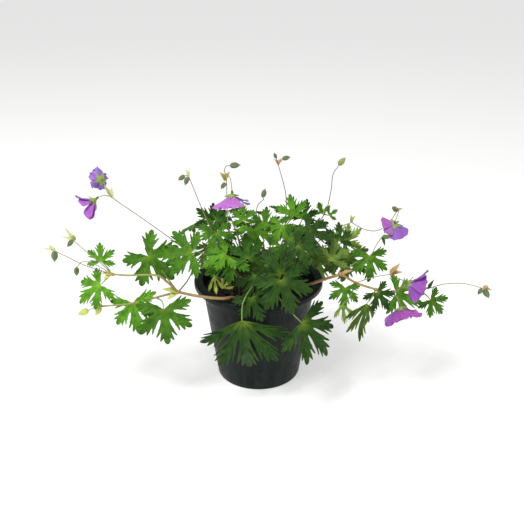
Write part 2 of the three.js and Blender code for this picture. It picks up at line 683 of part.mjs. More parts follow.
// The stem that branches over the pot's lip on the right.
function shootRight() {
  const joint = [79, -36, 127];
  const fork = [93, -38, 119];
  const elbow = [112, -40, 113];
  const spent = [126, -34, 126];
  const far = [166, -26, 107];
  return fuse([
    rooted(ROOTS.shootRight, [[46, -30, 112], [64, -34, 121], joint], STALK.trailing),
    knob(joint, 2.6),
    knob(fork, 2),
    knob(elbow, 2),
    bracts(joint, [[89, -40, 133]], 4),
    stalk([joint, fork, elbow, [128, -34, 106], [148, -14, 104], far], STALK.branch),
    stalk([fork, [110, -34, 123], spent], STALK.pedicel),
    bracts(spent, [[135, -32, 137], [130, -39, 136], [137, -37, 130]], 5),
    stalk([spent, [133, -33, 121.5], cupFoot(FLOWERS.rightOuter)], STALK.pedicel),
    calyx(FLOWERS.rightOuter),
    stalk([[126, -35, 107], [132, -42, 106], cupFoot(FLOWERS.rightLower)], STALK.pedicel),
    calyx(FLOWERS.rightLower),
    stalk([joint, [92, -30, 132], [107, -26, 142], [112, -27, 154], [117, -29, 164]], STALK.pedicel),
    bud([116, -29, 163], [123, -30, 162], 0.8),
    bracts([116, -29, 162], [[119, -31, 154]], 3),
    leafOn([joint, [92, -30, 136], [106, -26, 142]], [107, -38, 120], [0.2, -0.8, 0.6]),
    leafOn([elbow, [113, -43, 111]], [125, -52, 98], [0.2, -0.9, 0.45]),
    leafOn([elbow, [107, -48, 108], [102, -52, 104]], [93, -60, 69], [0.7, -0.65, 0.3], { spread: 0.55 }),
    leafOn([[152, -15, 104], [162, -30, 103], [167, -35, 99]], [181, -41, 87], [0.1, -0.9, 0.5]),
    leafOn([[128, -34, 106], [133, -25, 104], [137, -20, 98]], [163, -14, 84], [0.2, -0.7, 0.7]),
    bracts(far, [[170, -28, 118]], 3.5),
    stalk([far, [182, -28, 113], [200, -30, 114], [218, -30, 109]], STALK.pedicel),
    bracts([218, -30, 109], [[227, -30, 107], [223, -30, 112]], 3.5),
    bud([217, -30, 109], [213, -32, 103], 0.75),
    bud([219, -30, 108], [226, -31, 97], 1.1),
    leafOn([fork, [86, -43, 115], [82, -45, 117]], [80, -57, 101], [0.1, -0.8, 0.6]),
    leafOn([fork, [86, -50, 110], [79, -57, 106]], [80, -62, 89], [0.1, -0.9, 0.4], CURLED),
  ]);
}

function budStemLeft() {
  const joint = [-65, -8, 215];
  return fuse([
    rooted(ROOTS.budLeft, [[-42, -6, 150], [-55, -8, 186], joint], STALK.flower),
    bracts(joint, [[-67, -9, 222], [-62, -8, 221]]),
    stalk([joint, [-69, -9, 216]], STALK.pedicel),
    bud([-68.5, -9, 216], [-75.5, -9, 211], 0.8),
    bud([-65.5, -8.5, 214.5], [-69, -11, 206], 0.85),
  ]);
}

function budStemMiddle() {
  return fuse([
    rooted(ROOTS.budMiddle, [[-3, 8, 150], [-1, 8, 180], [5, 2, 189], [4, -4, 193]], STALK.pedicel),
    bud([4, -4, 193], [7, -4, 203], 0.9),
  ]);
}

function budStemTall() {
  const joint = [19, 6, 222];
  return fuse([
    rooted(ROOTS.budTall, [[26, 18, 146], [27, 15, 188], joint], STALK.flower),
    bracts(joint, [[15, 5, 228], [22, 5, 229]], 3.5),
    stalk([joint, [17, 5, 229]], STALK.pedicel),
    bud([17, 5, 228.5], [14.5, 5, 235], 0.6),
    stalk([joint, [23, 5, 228]], STALK.pedicel),
    bud([22.5, 5, 228], [29, 5, 229.5], 0.8),
  ]);
}

function budStemRight() {
  const joint = [66, 20, 167];
  return fuse([
    rooted(ROOTS.budRight, [[46, 26, 138], joint, [71, 14, 194], [72, 10, 212], [77, 6, 222]], STALK.flower),
    bracts(joint, [[63, 16, 176]]),
    leafOn([joint, [63, 18, 169]], [59, 16, 182], [0, -0.9, 0.4], SMALL),
    leafOn([joint, [71, 20, 166]], [79, 20, 172], [0, -0.9, 0.4], SMALL),
    bud([76, 6, 221.5], [83.5, 6, 230.5]),
  ]);
}

// ---------------------------------------------------------------- the whole object

const STEMS = {
  shoot_left: { build: shootLeft, root: 'shootLeft', radius: STALK.trailing, color: COLOURS.shoot },
  shoot_right: { build: shootRight, root: 'shootRight', radius: STALK.trailing, color: COLOURS.shoot },
  flower_stem_left: { build: flowerStemLeft, root: 'flowerLeft', radius: STALK.flower },
  flower_stem_centre: { build: flowerStemCentre, root: 'flowerCentre', radius: STALK.flower },
  flower_stem_right: { build: flowerStemRight, root: 'flowerRight', radius: STALK.flower },
  bud_stem_left: { build: budStemLeft, root: 'budLeft', radius: STALK.flower },
  bud_stem_middle: { build: budStemMiddle, root: 'budMiddle', radius: STALK.flower },
  bud_stem_tall: { build: budStemTall, root: 'budTall', radius: STALK.flower },
  bud_stem_right: { build: budStemRight, root: 'budRight', radius: STALK.flower },
};

const snake = (name) => name.replace(/[A-Z]/g, (letter) => `_${letter.toLowerCase()}`);

const holes = [];
const plant = [];
for (const [name, { build, root, radius, color = COLOURS.flowerStem }] of Object.entries(STEMS)) {
  holes.push({ x: ROOTS[root][0], y: ROOTS[root][1], radius: radius + SOIL.holeGap });
  plant.push(piece(name, build(), color, 0.6));
}
for (const [name, leaves] of Object.entries(TUFTS)) {
  holes.push({ x: ROOTS[name][0], y: ROOTS[name][1], radius: STALK.crown + SOIL.holeGap });
  plant.push(piece(snake(name), tuft(ROOTS[name], leaves), COLOURS.leaf, 0.55));
}
for (const [name, flower] of Object.entries(FLOWERS)) {
  plant.push(piece(`petals_${snake(name)}`, corolla(flower), COLOURS.petal, 0.5));
}

const geranium = new THREE.Group();
geranium.name = 'potted_geranium';
geranium.add(piece('pot', pot(), COLOURS.pot, 0.45));
geranium.add(piece('soil', soil(holes), COLOURS.soil, 0.95));
geranium.add(...plant);

export default geranium;
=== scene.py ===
# %% [markdown]
# # A hardy geranium in its nursery pot
#
# A hardy geranium is a leafy garden perennial. Its leaves are cut like an open hand, its stems are thin and
# hairy, and its flowers have five broad purple petals. It grows here in the plain plastic pot of a nursery.
#
# The solids of the plant are already in the frame: they say where every stem, leaf and flower is. This script
# replaces them with finer pieces that keep those places. One leaf, one bud, one petal and one bract are
# modelled, and then bent into place many times.

# %% Load the frame
import math
import random

import bpy
import numpy as np
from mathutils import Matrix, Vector


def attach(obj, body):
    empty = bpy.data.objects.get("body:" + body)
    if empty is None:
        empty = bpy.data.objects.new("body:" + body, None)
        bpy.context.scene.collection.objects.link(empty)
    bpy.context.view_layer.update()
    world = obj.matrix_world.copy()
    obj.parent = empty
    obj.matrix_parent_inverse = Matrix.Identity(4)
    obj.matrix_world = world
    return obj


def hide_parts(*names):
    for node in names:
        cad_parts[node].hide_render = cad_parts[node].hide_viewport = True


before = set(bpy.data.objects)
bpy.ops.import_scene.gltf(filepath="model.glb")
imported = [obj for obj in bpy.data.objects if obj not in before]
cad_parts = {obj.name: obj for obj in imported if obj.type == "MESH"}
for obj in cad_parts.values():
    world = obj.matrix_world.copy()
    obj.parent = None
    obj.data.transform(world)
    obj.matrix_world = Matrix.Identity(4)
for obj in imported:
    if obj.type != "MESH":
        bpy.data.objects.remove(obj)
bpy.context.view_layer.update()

MM = 0.001
print("nodes in the frame:", len(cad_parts))

# %% [markdown]
# ## Floor, light and camera
#
# The plant stands on a plain pale floor in soft studio light: one large lamp high on the left, a weaker one on
# the right, and a bright even sky. The camera looks down by about 24 degrees, so the pot's lip shows as an
# ellipse and the mound is seen a little from above.

# %% Floor and light
def colour(code):
    """The linear colour of a web colour such as #3f7f2c."""
    shares = [int(code[i:i + 2], 16) / 255 for i in (1, 3, 5)]
    return (*(s / 12.92 if s <= 0.04045 else ((s + 0.055) / 1.055) ** 2.4 for s in shares), 1.0)


def surface(name):
    """A new material, its node tree and its main shader."""
    made = bpy.data.materials.new(name)
    made.use_nodes = True
    return made, made.node_tree, made.node_tree.nodes["Principled BSDF"]


def lamp(name, place, power, size):
    """A square soft lamp that points at the middle of the plant."""
    aim = Vector((0, 0, 0.12)) - Vector(place)
    bpy.ops.object.light_add(type="AREA", location=place, rotation=aim.to_track_quat("-Z", "Y").to_euler())
    light = bpy.context.object
    light.name = name
    light.data.energy = power
    light.data.size = size


bpy.ops.mesh.primitive_plane_add(size=60)
floor = bpy.context.object
floor.name = "floor"
floor_finish, _, floor_shader = surface("pale_floor")
floor_shader.inputs["Base Color"].default_value = colour("#e4e4e3")
floor_shader.inputs["Roughness"].default_value = 0.9
floor_shader.inputs["Emission Color"].default_value = (1, 1, 1, 1)
floor_shader.inputs["Emission Strength"].default_value = 0.42
floor.data.materials.append(floor_finish)

sky = bpy.data.worlds.new("soft_sky")
sky.use_nodes = True
sky.node_tree.nodes["Background"].inputs["Color"].default_value = (1, 1, 1, 1)
sky.node_tree.nodes["Background"].inputs["Strength"].default_value = 0.45
bpy.context.scene.world = sky
bpy.context.scene.view_settings.view_transform = "Standard"

lamp("key_light", (-0.7, -0.7, 1.8), 26, 0.6)
lamp("fill_light", (1.2, -0.9, 0.8), 4, 1.0)

# %% Camera
SENSOR = 36
CAMERA = {"distance": 650, "down": 24.15, "aim_height": 123.6, "across": 3.5, "lens": 44.53}

down = math.radians(CAMERA["down"])
bpy.ops.object.camera_add(
    location=Vector((
        CAMERA["across"],
        -CAMERA["distance"] * math.cos(down),
        CAMERA["aim_height"] + CAMERA["distance"] * math.sin(down),
    )) * MM,
    rotation=(math.pi / 2 - down, 0, 0),
)
camera = bpy.context.object
camera.data.sensor_width = SENSOR
camera.data.lens = CAMERA["lens"]
bpy.context.scene.camera = camera
print("camera stands at", [round(c / MM) for c in camera.location])

# %% [markdown]
# ## Working helpers
#
# Operators act on everything that is selected, so every step first selects just what it is for. A finished
# piece rides on the plant's one body, and hides the solid that it stands for.

# %% Helpers
chance = random.Random(7)


def select(*objects):
    """Selects only these objects, with the first one active."""
    bpy.ops.object.select_all(action="DESELECT")
    for o in objects:
        o.select_set(True)
    bpy.context.view_layer.objects.active = objects[0]


def edit_all(*steps):
    """Runs edit-mode steps on the whole active mesh."""
    bpy.ops.object.mode_set(mode="EDIT")
    bpy.ops.mesh.select_all(action="SELECT")
    for step, settings in steps:
        step(**settings)
    bpy.ops.object.mode_set(mode="OBJECT")


def modify(obj, kind, **settings):
    """Adds a modifier, sets it up and applies it."""
    select(obj)
    bpy.ops.object.modifier_add(type=kind)
    for key, value in settings.items():
        setattr(obj.modifiers[-1], key, value)
    bpy.ops.object.modifier_apply(modifier=obj.modifiers[-1].name)


def points_of(obj):
    """The mesh's vertices as rows of numbers."""
    spots = np.empty(len(obj.data.vertices) * 3, np.float32)
    obj.data.vertices.foreach_get("co", spots)
    return spots.reshape(-1, 3).astype(float)


def set_points(obj, spots):
    """Moves the mesh's vertices to these rows of numbers."""
    obj.data.vertices.foreach_set("co", np.asarray(spots, np.float32).ravel())
    obj.data.update()


def mark(obj, name, values):
    """Stores one number for each vertex under a name."""
    layer = obj.data.attributes.new(name, "FLOAT", "POINT")
    layer.data.foreach_set("value", np.asarray(values, np.float32))


def read(obj, name):
    """The numbers that mark stored under a name."""
    values = np.empty(len(obj.data.vertices), np.float32)
    obj.data.attributes[name].data.foreach_get("value", values)
    return values.astype(float)


def dye(obj, colours):
    """Gives each vertex a colour of its own, or all of them one."""
    layer = obj.data.attributes.new("tint", "FLOAT_COLOR", "POINT")
    rows = np.broadcast_to(np.asarray(colours, np.float32), (len(obj.data.vertices), 4))
    layer.data.foreach_set("color", np.ascontiguousarray(rows).ravel())


def copy_of(master, spots, tint):
    """A copy of a master piece with a mesh of its own, moved to these points and coloured."""
    made = bpy.data.objects.new(master.name, master.data.copy())
    bpy.context.collection.objects.link(made)
    set_points(made, spots)
    dye(made, colour(tint))
    return made


def piece(name, parts, node):
    """Joins parts into one finished piece that stands for a solid of the frame."""
    select(*parts)
    if len(parts) > 1:
        bpy.ops.object.join()
    made = bpy.context.object
    made.name = name
    made.data.name = name
    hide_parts(node)
    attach(made, "root")
    return made


print("a seeded draw:", round(chance.random(), 3))

# %% [markdown]
# ## Finishes of the green parts
#
# A leaf's colour changes from plant part to plant part, and its tint also holds painted light and shade: brighter
# where the leaf is lit, darker where it lies in shade. So each copy carries its tint in its mesh, and the material
# reads it. The leaf's map says where a spot lies between the veins: its first number is whole on every side vein,
# and its second is zero on a lobe's rib. Veins are paler than the blade and lie in shallow grooves on top, and
# stand out on the underside.

# %% Node helpers
def node(tree, kind, inputs=(), **settings):
    """Adds a node, sets its options, and feeds each input with a number or with another node's output."""
    made = tree.nodes.new(kind)
    for key, value in settings.items():
        setattr(made, key, value)
    for key, value in dict(inputs).items():
        if isinstance(value, bpy.types.NodeSocket):
            tree.links.new(value, made.inputs[key])
        else:
            made.inputs[key].default_value = value
    return made


def math_node(tree, operation, first, second=0.0):
    """The result of a sum on two numbers or outputs."""
    return node(tree, "ShaderNodeMath", {0: first, 1: second}, operation=operation).outputs[0]


def blend(tree, share, first, second, mode="MIX"):
    """Mixes two colours."""
    mixer = node(tree, "ShaderNodeMix", data_type="RGBA", blend_type=mode)
    for key, value in ((0, share), (6, first), (7, second)):
        if isinstance(value, bpy.types.NodeSocket):
            tree.links.new(value, mixer.inputs[key])
        else:
            mixer.inputs[key].default_value = value
    return mixer.outputs[2]


def ramp(tree, value, low, high, bottom=0.0, top=1.0):
    """Turns a value between low and high smoothly into one between bottom and top."""
    inputs = {"Value": value, "From Min": low, "From Max": high, "To Min": bottom, "To Max": top}
    return node(tree, "ShaderNodeMapRange", inputs, interpolation_type="SMOOTHSTEP").outputs[0]


def noise(tree, scale, detail=3.0, roughness=0.55, vector=None):
    """Smooth noise that is fixed to the object, with its scale in waves per metre."""
    spots = vector or node(tree, "ShaderNodeTexCoord").outputs["Object"]
    inputs = {"Vector": spots, "Scale": scale, "Detail": detail, "Roughness": roughness}
    return node(tree, "ShaderNodeTexNoise", inputs).outputs["Fac"]


def relief(tree, shader, height, depth):
    """Raises the surface by a height map, with its depth in millimetres."""
    bump = node(tree, "ShaderNodeBump", {"Height": height, "Distance": depth * MM, "Strength": 1.0})
    tree.links.new(bump.outputs[0], shader.inputs["Normal"])


def tint_of(tree):
    """The colour that dye stored in the mesh."""
    return node(tree, "ShaderNodeAttribute", attribute_name="tint").outputs["Color"]


def leaf_map(tree):
    """The two numbers of the leaf's map: the place between side veins and the distance from the rib."""
    place = node(tree, "ShaderNodeUVMap").outputs[0]
    parts = node(tree, "ShaderNodeSeparateXYZ", {0: place})
    return parts.outputs[0], parts.outputs[1]


# %% Leaf finishes
def leaf_finish(name, wash, wash_share, vein_share, vein_height, roughness):
    """One side of a leaf: its tint under a wash, mottled, with paler veins."""
    made, tree, shader = surface(name)
    between, across = leaf_map(tree)
    shifted = math_node(tree, "FRACT", math_node(tree, "ADD", between, 0.5))
    from_vein = math_node(tree, "ABSOLUTE", math_node(tree, "SUBTRACT", shifted, 0.5))
    side_vein = ramp(tree, from_vein, 0.0, 0.11, 0.75, 0.0)
    rib = ramp(tree, across, 0.0, 0.11, 1.0, 0.0)
    veins = math_node(tree, "MAXIMUM", side_vein, rib)
    base = blend(tree, wash_share, tint_of(tree), colour(wash))
    reach = node(tree, "ShaderNodeAttribute", attribute_name="reach").outputs["Fac"]
    base = blend(tree, ramp(tree, reach, 0.0, 0.26, 0.26, 0.0), base, colour("#9db83c"))
    base = blend(tree, ramp(tree, reach, 0.55, 0.95, 0.0, 0.3), base, (0.5, 0.55, 0.5, 1), "MULTIPLY")
    base = blend(tree, ramp(tree, reach, 0.9, 1.0, 0.0, 0.6), base, colour("#4f3a22"))
    base = blend(tree, ramp(tree, noise(tree, 70), 0.35, 0.7), base, (1.5, 1.38, 1.2, 1), "MULTIPLY")
    base = blend(tree, ramp(tree, noise(tree, 160, 2.0), 0.4, 0.7), base, (0.6, 0.68, 0.6, 1), "MULTIPLY")
    light = blend(tree, 0.2, base, colour("#b9cc7d"))
    base = blend(tree, math_node(tree, "MULTIPLY", veins, vein_share), base, light)
    tree.links.new(base, shader.inputs["Base Color"])
    pores = math_node(tree, "MULTIPLY", noise(tree, 1500, 2.0), 0.25)
    height = math_node(tree, "ADD", math_node(tree, "MULTIPLY", veins, vein_height), pores)
    relief(tree, shader, height, 0.34)
    shader.inputs["Roughness"].default_value = roughness
    shader.inputs["Specular IOR Level"].default_value = 0.14
    shader.inputs["Subsurface Weight"].default_value = 0.08
    shader.inputs["Subsurface Radius"].default_value = (0.6, 1.0, 0.2)
    shader.inputs["Subsurface Scale"].default_value = 0.7 * MM
    return made


leaf_top = leaf_finish("leaf_top", "#2f6a22", 0.08, 0.22, -0.45, 0.5)
leaf_back = leaf_finish("leaf_underside", "#8fae58", 0.3, 0.4, 0.8, 0.7)


def soft_green(name, roughness, grain, light):
    """The finish of stems, buds and bracts: the tint of the mesh, with fine streaks and a soft sheen."""
    made, tree, shader = surface(name)
    streaks = ramp(tree, noise(tree, grain, 4.0), 0.3, 0.7)
    base = blend(tree, streaks, tint_of(tree), (light, light, light * 0.92, 1), "MULTIPLY")
    tree.links.new(base, shader.inputs["Base Color"])
    relief(tree, shader, noise(tree, grain * 4, 2.0), 0.12)
    shader.inputs["Roughness"].default_value = roughness
    shader.inputs["Sheen Weight"].default_value = 0.25
    shader.inputs["Sheen Roughness"].default_value = 0.4
    return made


stem_skin = soft_green("stem_skin", 0.5, 260, 1.35)
bract_paper = soft_green("bract_paper", 0.7, 420, 1.25)
print("finishes:", [m.name for m in bpy.data.materials])

# %% [markdown]
# ## One leaf blade
#
# The blade has five lobes that meet at the stalk, each cut again into blunt teeth. It could be drawn as one
# outline and filled, but then the faces run anyhow and the veins can't follow them. So each half of a lobe is a
# grid: its long side is the rib, and each cross row is a side vein that runs out to a tooth or to a notch
# between two teeth. Ten grids are merged into a flat blade, which gets its thickness at the end.

# %% Half a lobe
BLADE = {"across": 4, "thickness": 0.36, "gap": 0.3, "outer_gap": 26}
LOBES = {"grown": ((-104, 0.76), (-50, 0.9), (0, 1.0), (50, 0.9), (104, 0.76)),
         "young": ((-68, 0.85), (0, 1.0), (68, 0.85))}

# Rows of half a lobe from the cut beside it to its tip, as shares of its length: where the row leaves the rib,
# where it ends (along, off), its number between the veins, and how far the blade swells there.
LOBE_ROWS = (
    (0.25, 0.34, 0.124, 0.55, 0.4),
    (0.29, 0.43, 0.152, 0.72, 0.3),
    (0.325, 0.51, 0.186, 0.86, 0.1),
    (0.345, 0.565, 0.218, 0.93, -0.3),
    (0.36, 0.585, 0.210, 0.96, 0.1),
    (0.37, 0.635, 0.236, 1.0, -0.4),
    (0.385, 0.70, 0.270, 1.05, -1.0),
    (0.40, 0.754, 0.284, 1.1, -1.0),
    (0.415, 0.735, 0.240, 1.2, -0.3),
    (0.43, 0.685, 0.194, 1.3, 0.3),
    (0.45, 0.645, 0.162, 1.4, 0.8),
    (0.475, 0.635, 0.143, 1.5, 1.0),
    (0.50, 0.66, 0.143, 1.55, 0.8),
    (0.53, 0.715, 0.158, 1.7, 0.4),
    (0.565, 0.78, 0.175, 1.85, -0.1),
    (0.60, 0.845, 0.187, 2.0, -0.8),
    (0.62, 0.892, 0.187, 2.1, -1.0),
    (0.65, 0.866, 0.144, 2.25, -0.1),
    (0.68, 0.825, 0.108, 2.4, 0.6),
    (0.71, 0.815, 0.088, 2.5, 1.0),
    (0.75, 0.85, 0.088, 2.65, 0.4),
    (0.80, 0.905, 0.082, 3.0, -0.3),
    (0.86, 0.955, 0.060, 3.3, -0.2),
    (0.93, 0.988, 0.030, 3.6, 0.1),
    (1.0, 1.0, 0.0, 4.0, 0.0),
)


def half_lobe(turn, length, gap, reach, hand):
    """A grid in the shape of half a lobe. The lobe points turn degrees to the right of the leaf's middle, and
    the cut beside it lies gap degrees from its rib and starts at reach from the leaf's foot."""
    # Below the cut, the rows end on the border with the next lobe.
    beside = [(share * reach * 0.8, share * reach * math.cos(math.radians(gap)),
               share * reach * math.sin(math.radians(gap)), 0.5 * share, 0.6 * share)
              for share in (0.0, 0.33, 0.67, 1.0)]
    free = [(rib * length, along * length, off * length, between, swell)
            for rib, along, off, between, swell in LOBE_ROWS]
    rows = np.array(beside + free)
    bpy.ops.mesh.primitive_grid_add(x_subdivisions=len(rows) - 1, y_subdivisions=BLADE["across"], size=1)
    made = bpy.context.object
    spots = points_of(made)
    row = rows[np.rint((spots[:, 0] + 0.5) * (len(rows) - 1)).astype(int)]
    across = spots[:, 1] + 0.5
    along = row[:, 0] + (row[:, 1] - row[:, 0]) * across
    off = row[:, 2] * across
    angle = math.radians(turn)
    set_points(made, np.stack([
        along * math.sin(angle) + hand * off * math.cos(angle),
        along * math.cos(angle) - hand * off * math.sin(angle),
        0 * off,
    ], 1))
    mark(made, "off", off)
    mark(made, "swell", row[:, 4] * np.sin(math.pi * across))
    mark(made, "lobe", 0 * off + turn)
    corners = np.empty(len(made.data.loops), np.int32)
    made.data.loops.foreach_get("vertex_index", corners)
    flat = np.stack([row[:, 3], across], 1)[corners]
    made.data.uv_layers[0].data.foreach_set("uv", flat.astype(np.float32).ravel())
    return made


# %% The blade
def hide(obj):
    """Takes a master piece out of the scene, so that only its copies show."""
    obj.users_collection[0].objects.unlink(obj)
    return obj


def thick_sheet(name, parts, materials):
    """Merges flat parts into one sheet that faces up, and makes it a closed blade with a second finish below."""
    select(*parts)
    if len(parts) > 1:
        bpy.ops.object.join()
    made = bpy.context.object
    made.name = name
    edit_all((bpy.ops.mesh.remove_doubles, {"threshold": 1e-4}),
             (bpy.ops.mesh.dissolve_degenerate, {"threshold": 1e-5}),
             (bpy.ops.mesh.normals_make_consistent, {"inside": False}))
    if sum(face.normal.z * face.area for face in made.data.polygons) < 0:
        edit_all((bpy.ops.mesh.flip_normals, {}))
    for material in materials:
        made.data.materials.append(material)
    modify(made, "SOLIDIFY", thickness=1.0, offset=0, material_offset=len(materials) - 1)
    select(made)
    bpy.ops.object.shade_smooth_by_angle(angle=math.radians(50))
    return made


def leaf_blade(name, lobes):
    """A flat leaf one unit long with a thickness of one unit, to be bent and scaled as it is placed."""
    halves = []
    for i, (turn, length) in enumerate(lobes):
        for hand, near in ((-1, i - 1), (1, i + 1)):
            beside = lobes[near] if 0 <= near < len(lobes) else None
            gap = abs(beside[0] - turn) / 2 if beside else BLADE["outer_gap"]
            reach = BLADE["gap"] * (length + (beside[1] if beside else length)) / 2
            halves.append(half_lobe(turn, length, gap, reach, hand))
    made = thick_sheet(name, halves, (leaf_top, leaf_back))
    mark(made, "reach", np.linalg.norm(points_of(made)[:, :2], axis=1))
    return hide(made)


BLADES = {name: leaf_blade(f"{name}_blade", lobes) for name, lobes in LOBES.items()}
for name, made in BLADES.items():
    print(name, "blade:", len(made.data.polygons), "faces")

# %% [markdown]
# ## Placing a leaf
#
# A leaf hangs from the end of its stalk, turns its face to the light, folds a little along each rib, droops
# towards its edge and waves. The same sum as in the solids bends the flat blade, and each lobe then bends a
# little more by chance, as no two lobes of a real leaf lie alike.

# %% Curves and stalks
def route(points, legs=8):
    """Points in millimetres along the smooth curve through a few points, as the solids' stalks run."""
    p = [Vector(q) for q in points]
    p = [2 * p[0] - p[1], *p, 2 * p[-1] - p[-2]]
    spots = []
    for a, b, c, d in zip(p, p[1:], p[2:], p[3:]):
        ab, bc, cd = ((b - a).length ** 0.5, (c - b).length ** 0.5, (d - c).length ** 0.5)
        leave = ((b - a) / ab - (c - a) / (ab + bc) + (c - b) / bc) * bc
        arrive = ((c - b) / bc - (d - b) / (bc + cd) + (d - c) / cd) * bc
        for i in range(legs):
            t = i / legs
            spots.append(b + leave * t + (3 * (c - b) - 2 * leave - arrive) * t * t
                         + (2 * (b - c) + leave + arrive) * t ** 3)
    return [*spots, p[-2]]


def stalk(points, start, end, tint, end_tint=None):
    """A round stalk that tapers from one radius to another, and fades from one colour to another."""
    spots = route(points)
    curve = bpy.data.curves.new("stalk", "CURVE")
    curve.dimensions = "3D"
    curve.bevel_depth = MM
    curve.bevel_resolution = 2
    curve.use_fill_caps = True
    spline = curve.splines.new("POLY")
    spline.points.add(len(spots) - 1)
    for i, (point, spot) in enumerate(zip(spline.points, spots)):
        point.co = (*(spot * MM), 1)
        point.radius = start + (end - start) * i / (len(spots) - 1)
    made = bpy.data.objects.new("stalk", curve)
    bpy.context.collection.objects.link(made)
    select(made)
    bpy.ops.object.convert(target="MESH")
    edit_all((bpy.ops.mesh.remove_doubles, {"threshold": 1e-6}),
             (bpy.ops.mesh.normals_make_consistent, {"inside": False}))
    bpy.ops.object.shade_smooth()
    line = np.array([spot * MM for spot in spots])
    nearest = np.linalg.norm(points_of(made)[:, None] - line[None], axis=2).argmin(1)
    share = (nearest / (len(spots) - 1))[:, None]
    dye(made, np.array(colour(tint)) * (1 - share) + np.array(colour(end_tint or tint)) * share)
    made.data.materials.append(stem_skin)
    return made


# %% Leaves
LEAF = {"fold": 0.3, "droop": 0.18, "wave": 0.05, "swell": 0.016, "bend": 0.65, "hold": 0.35}
PETIOLE = (0.72, 0.46)
# The greens fresh, bright, mid, deep and dark are partly painted light and shade: leaves and scales in the light
# get the bright greens, and those in shade inside the mound and low at its front get the deep and dark ones. The
# tint shade is the painted shade at the foot of the leaf stalks.
TINTS = {
    "fresh": "#5f9a26", "bright": "#588f22", "mid": "#47771c", "deep": "#335c18", "dark": "#264413",
    "olive": "#4c6623", "pale": "#84a04a", "young": "#c2cd66",
    "brown": "#54402a", "red": "#6e4a30", "tan": "#a3824f", "stem": "#84944c", "grey": "#8a8074",
    "plum": "#83786c", "shade": "#5c5c38",
    "bud": "#54653a", "husk": "#8b9152", "sepal": "#8a9f50", "stipule": "#bcc871", "cream": "#cdd09a",
    "gold": "#a79a52", "spent": "#b99a6c", "anther": "#3f2a55",
}


def blade_axes(along, face):
    """Forward, face and side of a blade that grows along one direction with its face to another."""
    forward = np.array(along, float) / np.linalg.norm(along)
    normal = np.array(face, float) - np.dot(face, forward) * forward
    normal /= np.linalg.norm(normal)
    return forward, normal, np.cross(forward, normal)


def leaf(points, tip, face, tint="mid", form="grown", droop=LEAF["droop"], spread=1):
    """The blade and the stalk of one leaf. The points run from the stem to the foot of the blade. A spread
    below one draws the lobes together like a half-closed fan."""
    master = BLADES[form]
    foot = np.array(points[-1], float)
    forward, normal, side = blade_axes(np.array(tip) - foot, face)
    size = np.linalg.norm(np.array(tip) - foot)
    x, y, z = points_of(master).T
    reach, around = np.hypot(x, y), spread * np.arctan2(x, y)
    x, y = reach * np.sin(around), reach * np.cos(around)
    phase = 0.37 * foot[0] + 0.21 * foot[1]
    height = LEAF["fold"] * read(master, "off") - droop * reach ** 2
    height += LEAF["wave"] * reach * np.sin(2 * around + phase)
    height += LEAF["swell"] * read(master, "swell")
    turns = read(master, "lobe")
    for turn, _ in LOBES[form]:
        beyond = np.clip(reach - LEAF["hold"], 0, None) ** 2 * (np.abs(turns - turn) < 1)
        height += LEAF["bend"] * chance.uniform(-1, 1) * beyond
    spots = foot + size * (np.outer(x, side) + np.outer(y, forward) + np.outer(height, normal))
    spots += np.outer(z * BLADE["thickness"], normal)
    # The stalk is dyed from painted shade where it leaves the stem to pale green at the blade.
    stem = stalk(points, *PETIOLE, TINTS["shade"], TINTS["pale"])
    return copy_of(master, spots * MM, TINTS[tint]), stem


print("a leaf has", len(BLADES["grown"].data.vertices), "vertices")

# %% [markdown]
# ## The mound
#
# The basal leaves rise from the crown on their own stalks, in clumps from short stems in the soil. Those in the
# middle are small and stand up, those at the front and back hang over the lip. Their tints paint light and shade:
# leaves that face the light are given brighter greens, and the ones low at the front, in the mound's shade, dark
# ones.

# %% Where the leaves grow
SOIL_TOP = 96
ROOT_DEPTH = 10
NECK = 2
CROWN = {"radius": 2.0, "tip_radius": 1.4, "height": 8, "stalks_from": 5}
ARC = {"out": 0.4, "up": 0.62}
CURLED = {"form": "young", "droop": -0.4, "spread": 0.6}
SMALL = {"form": "young"}

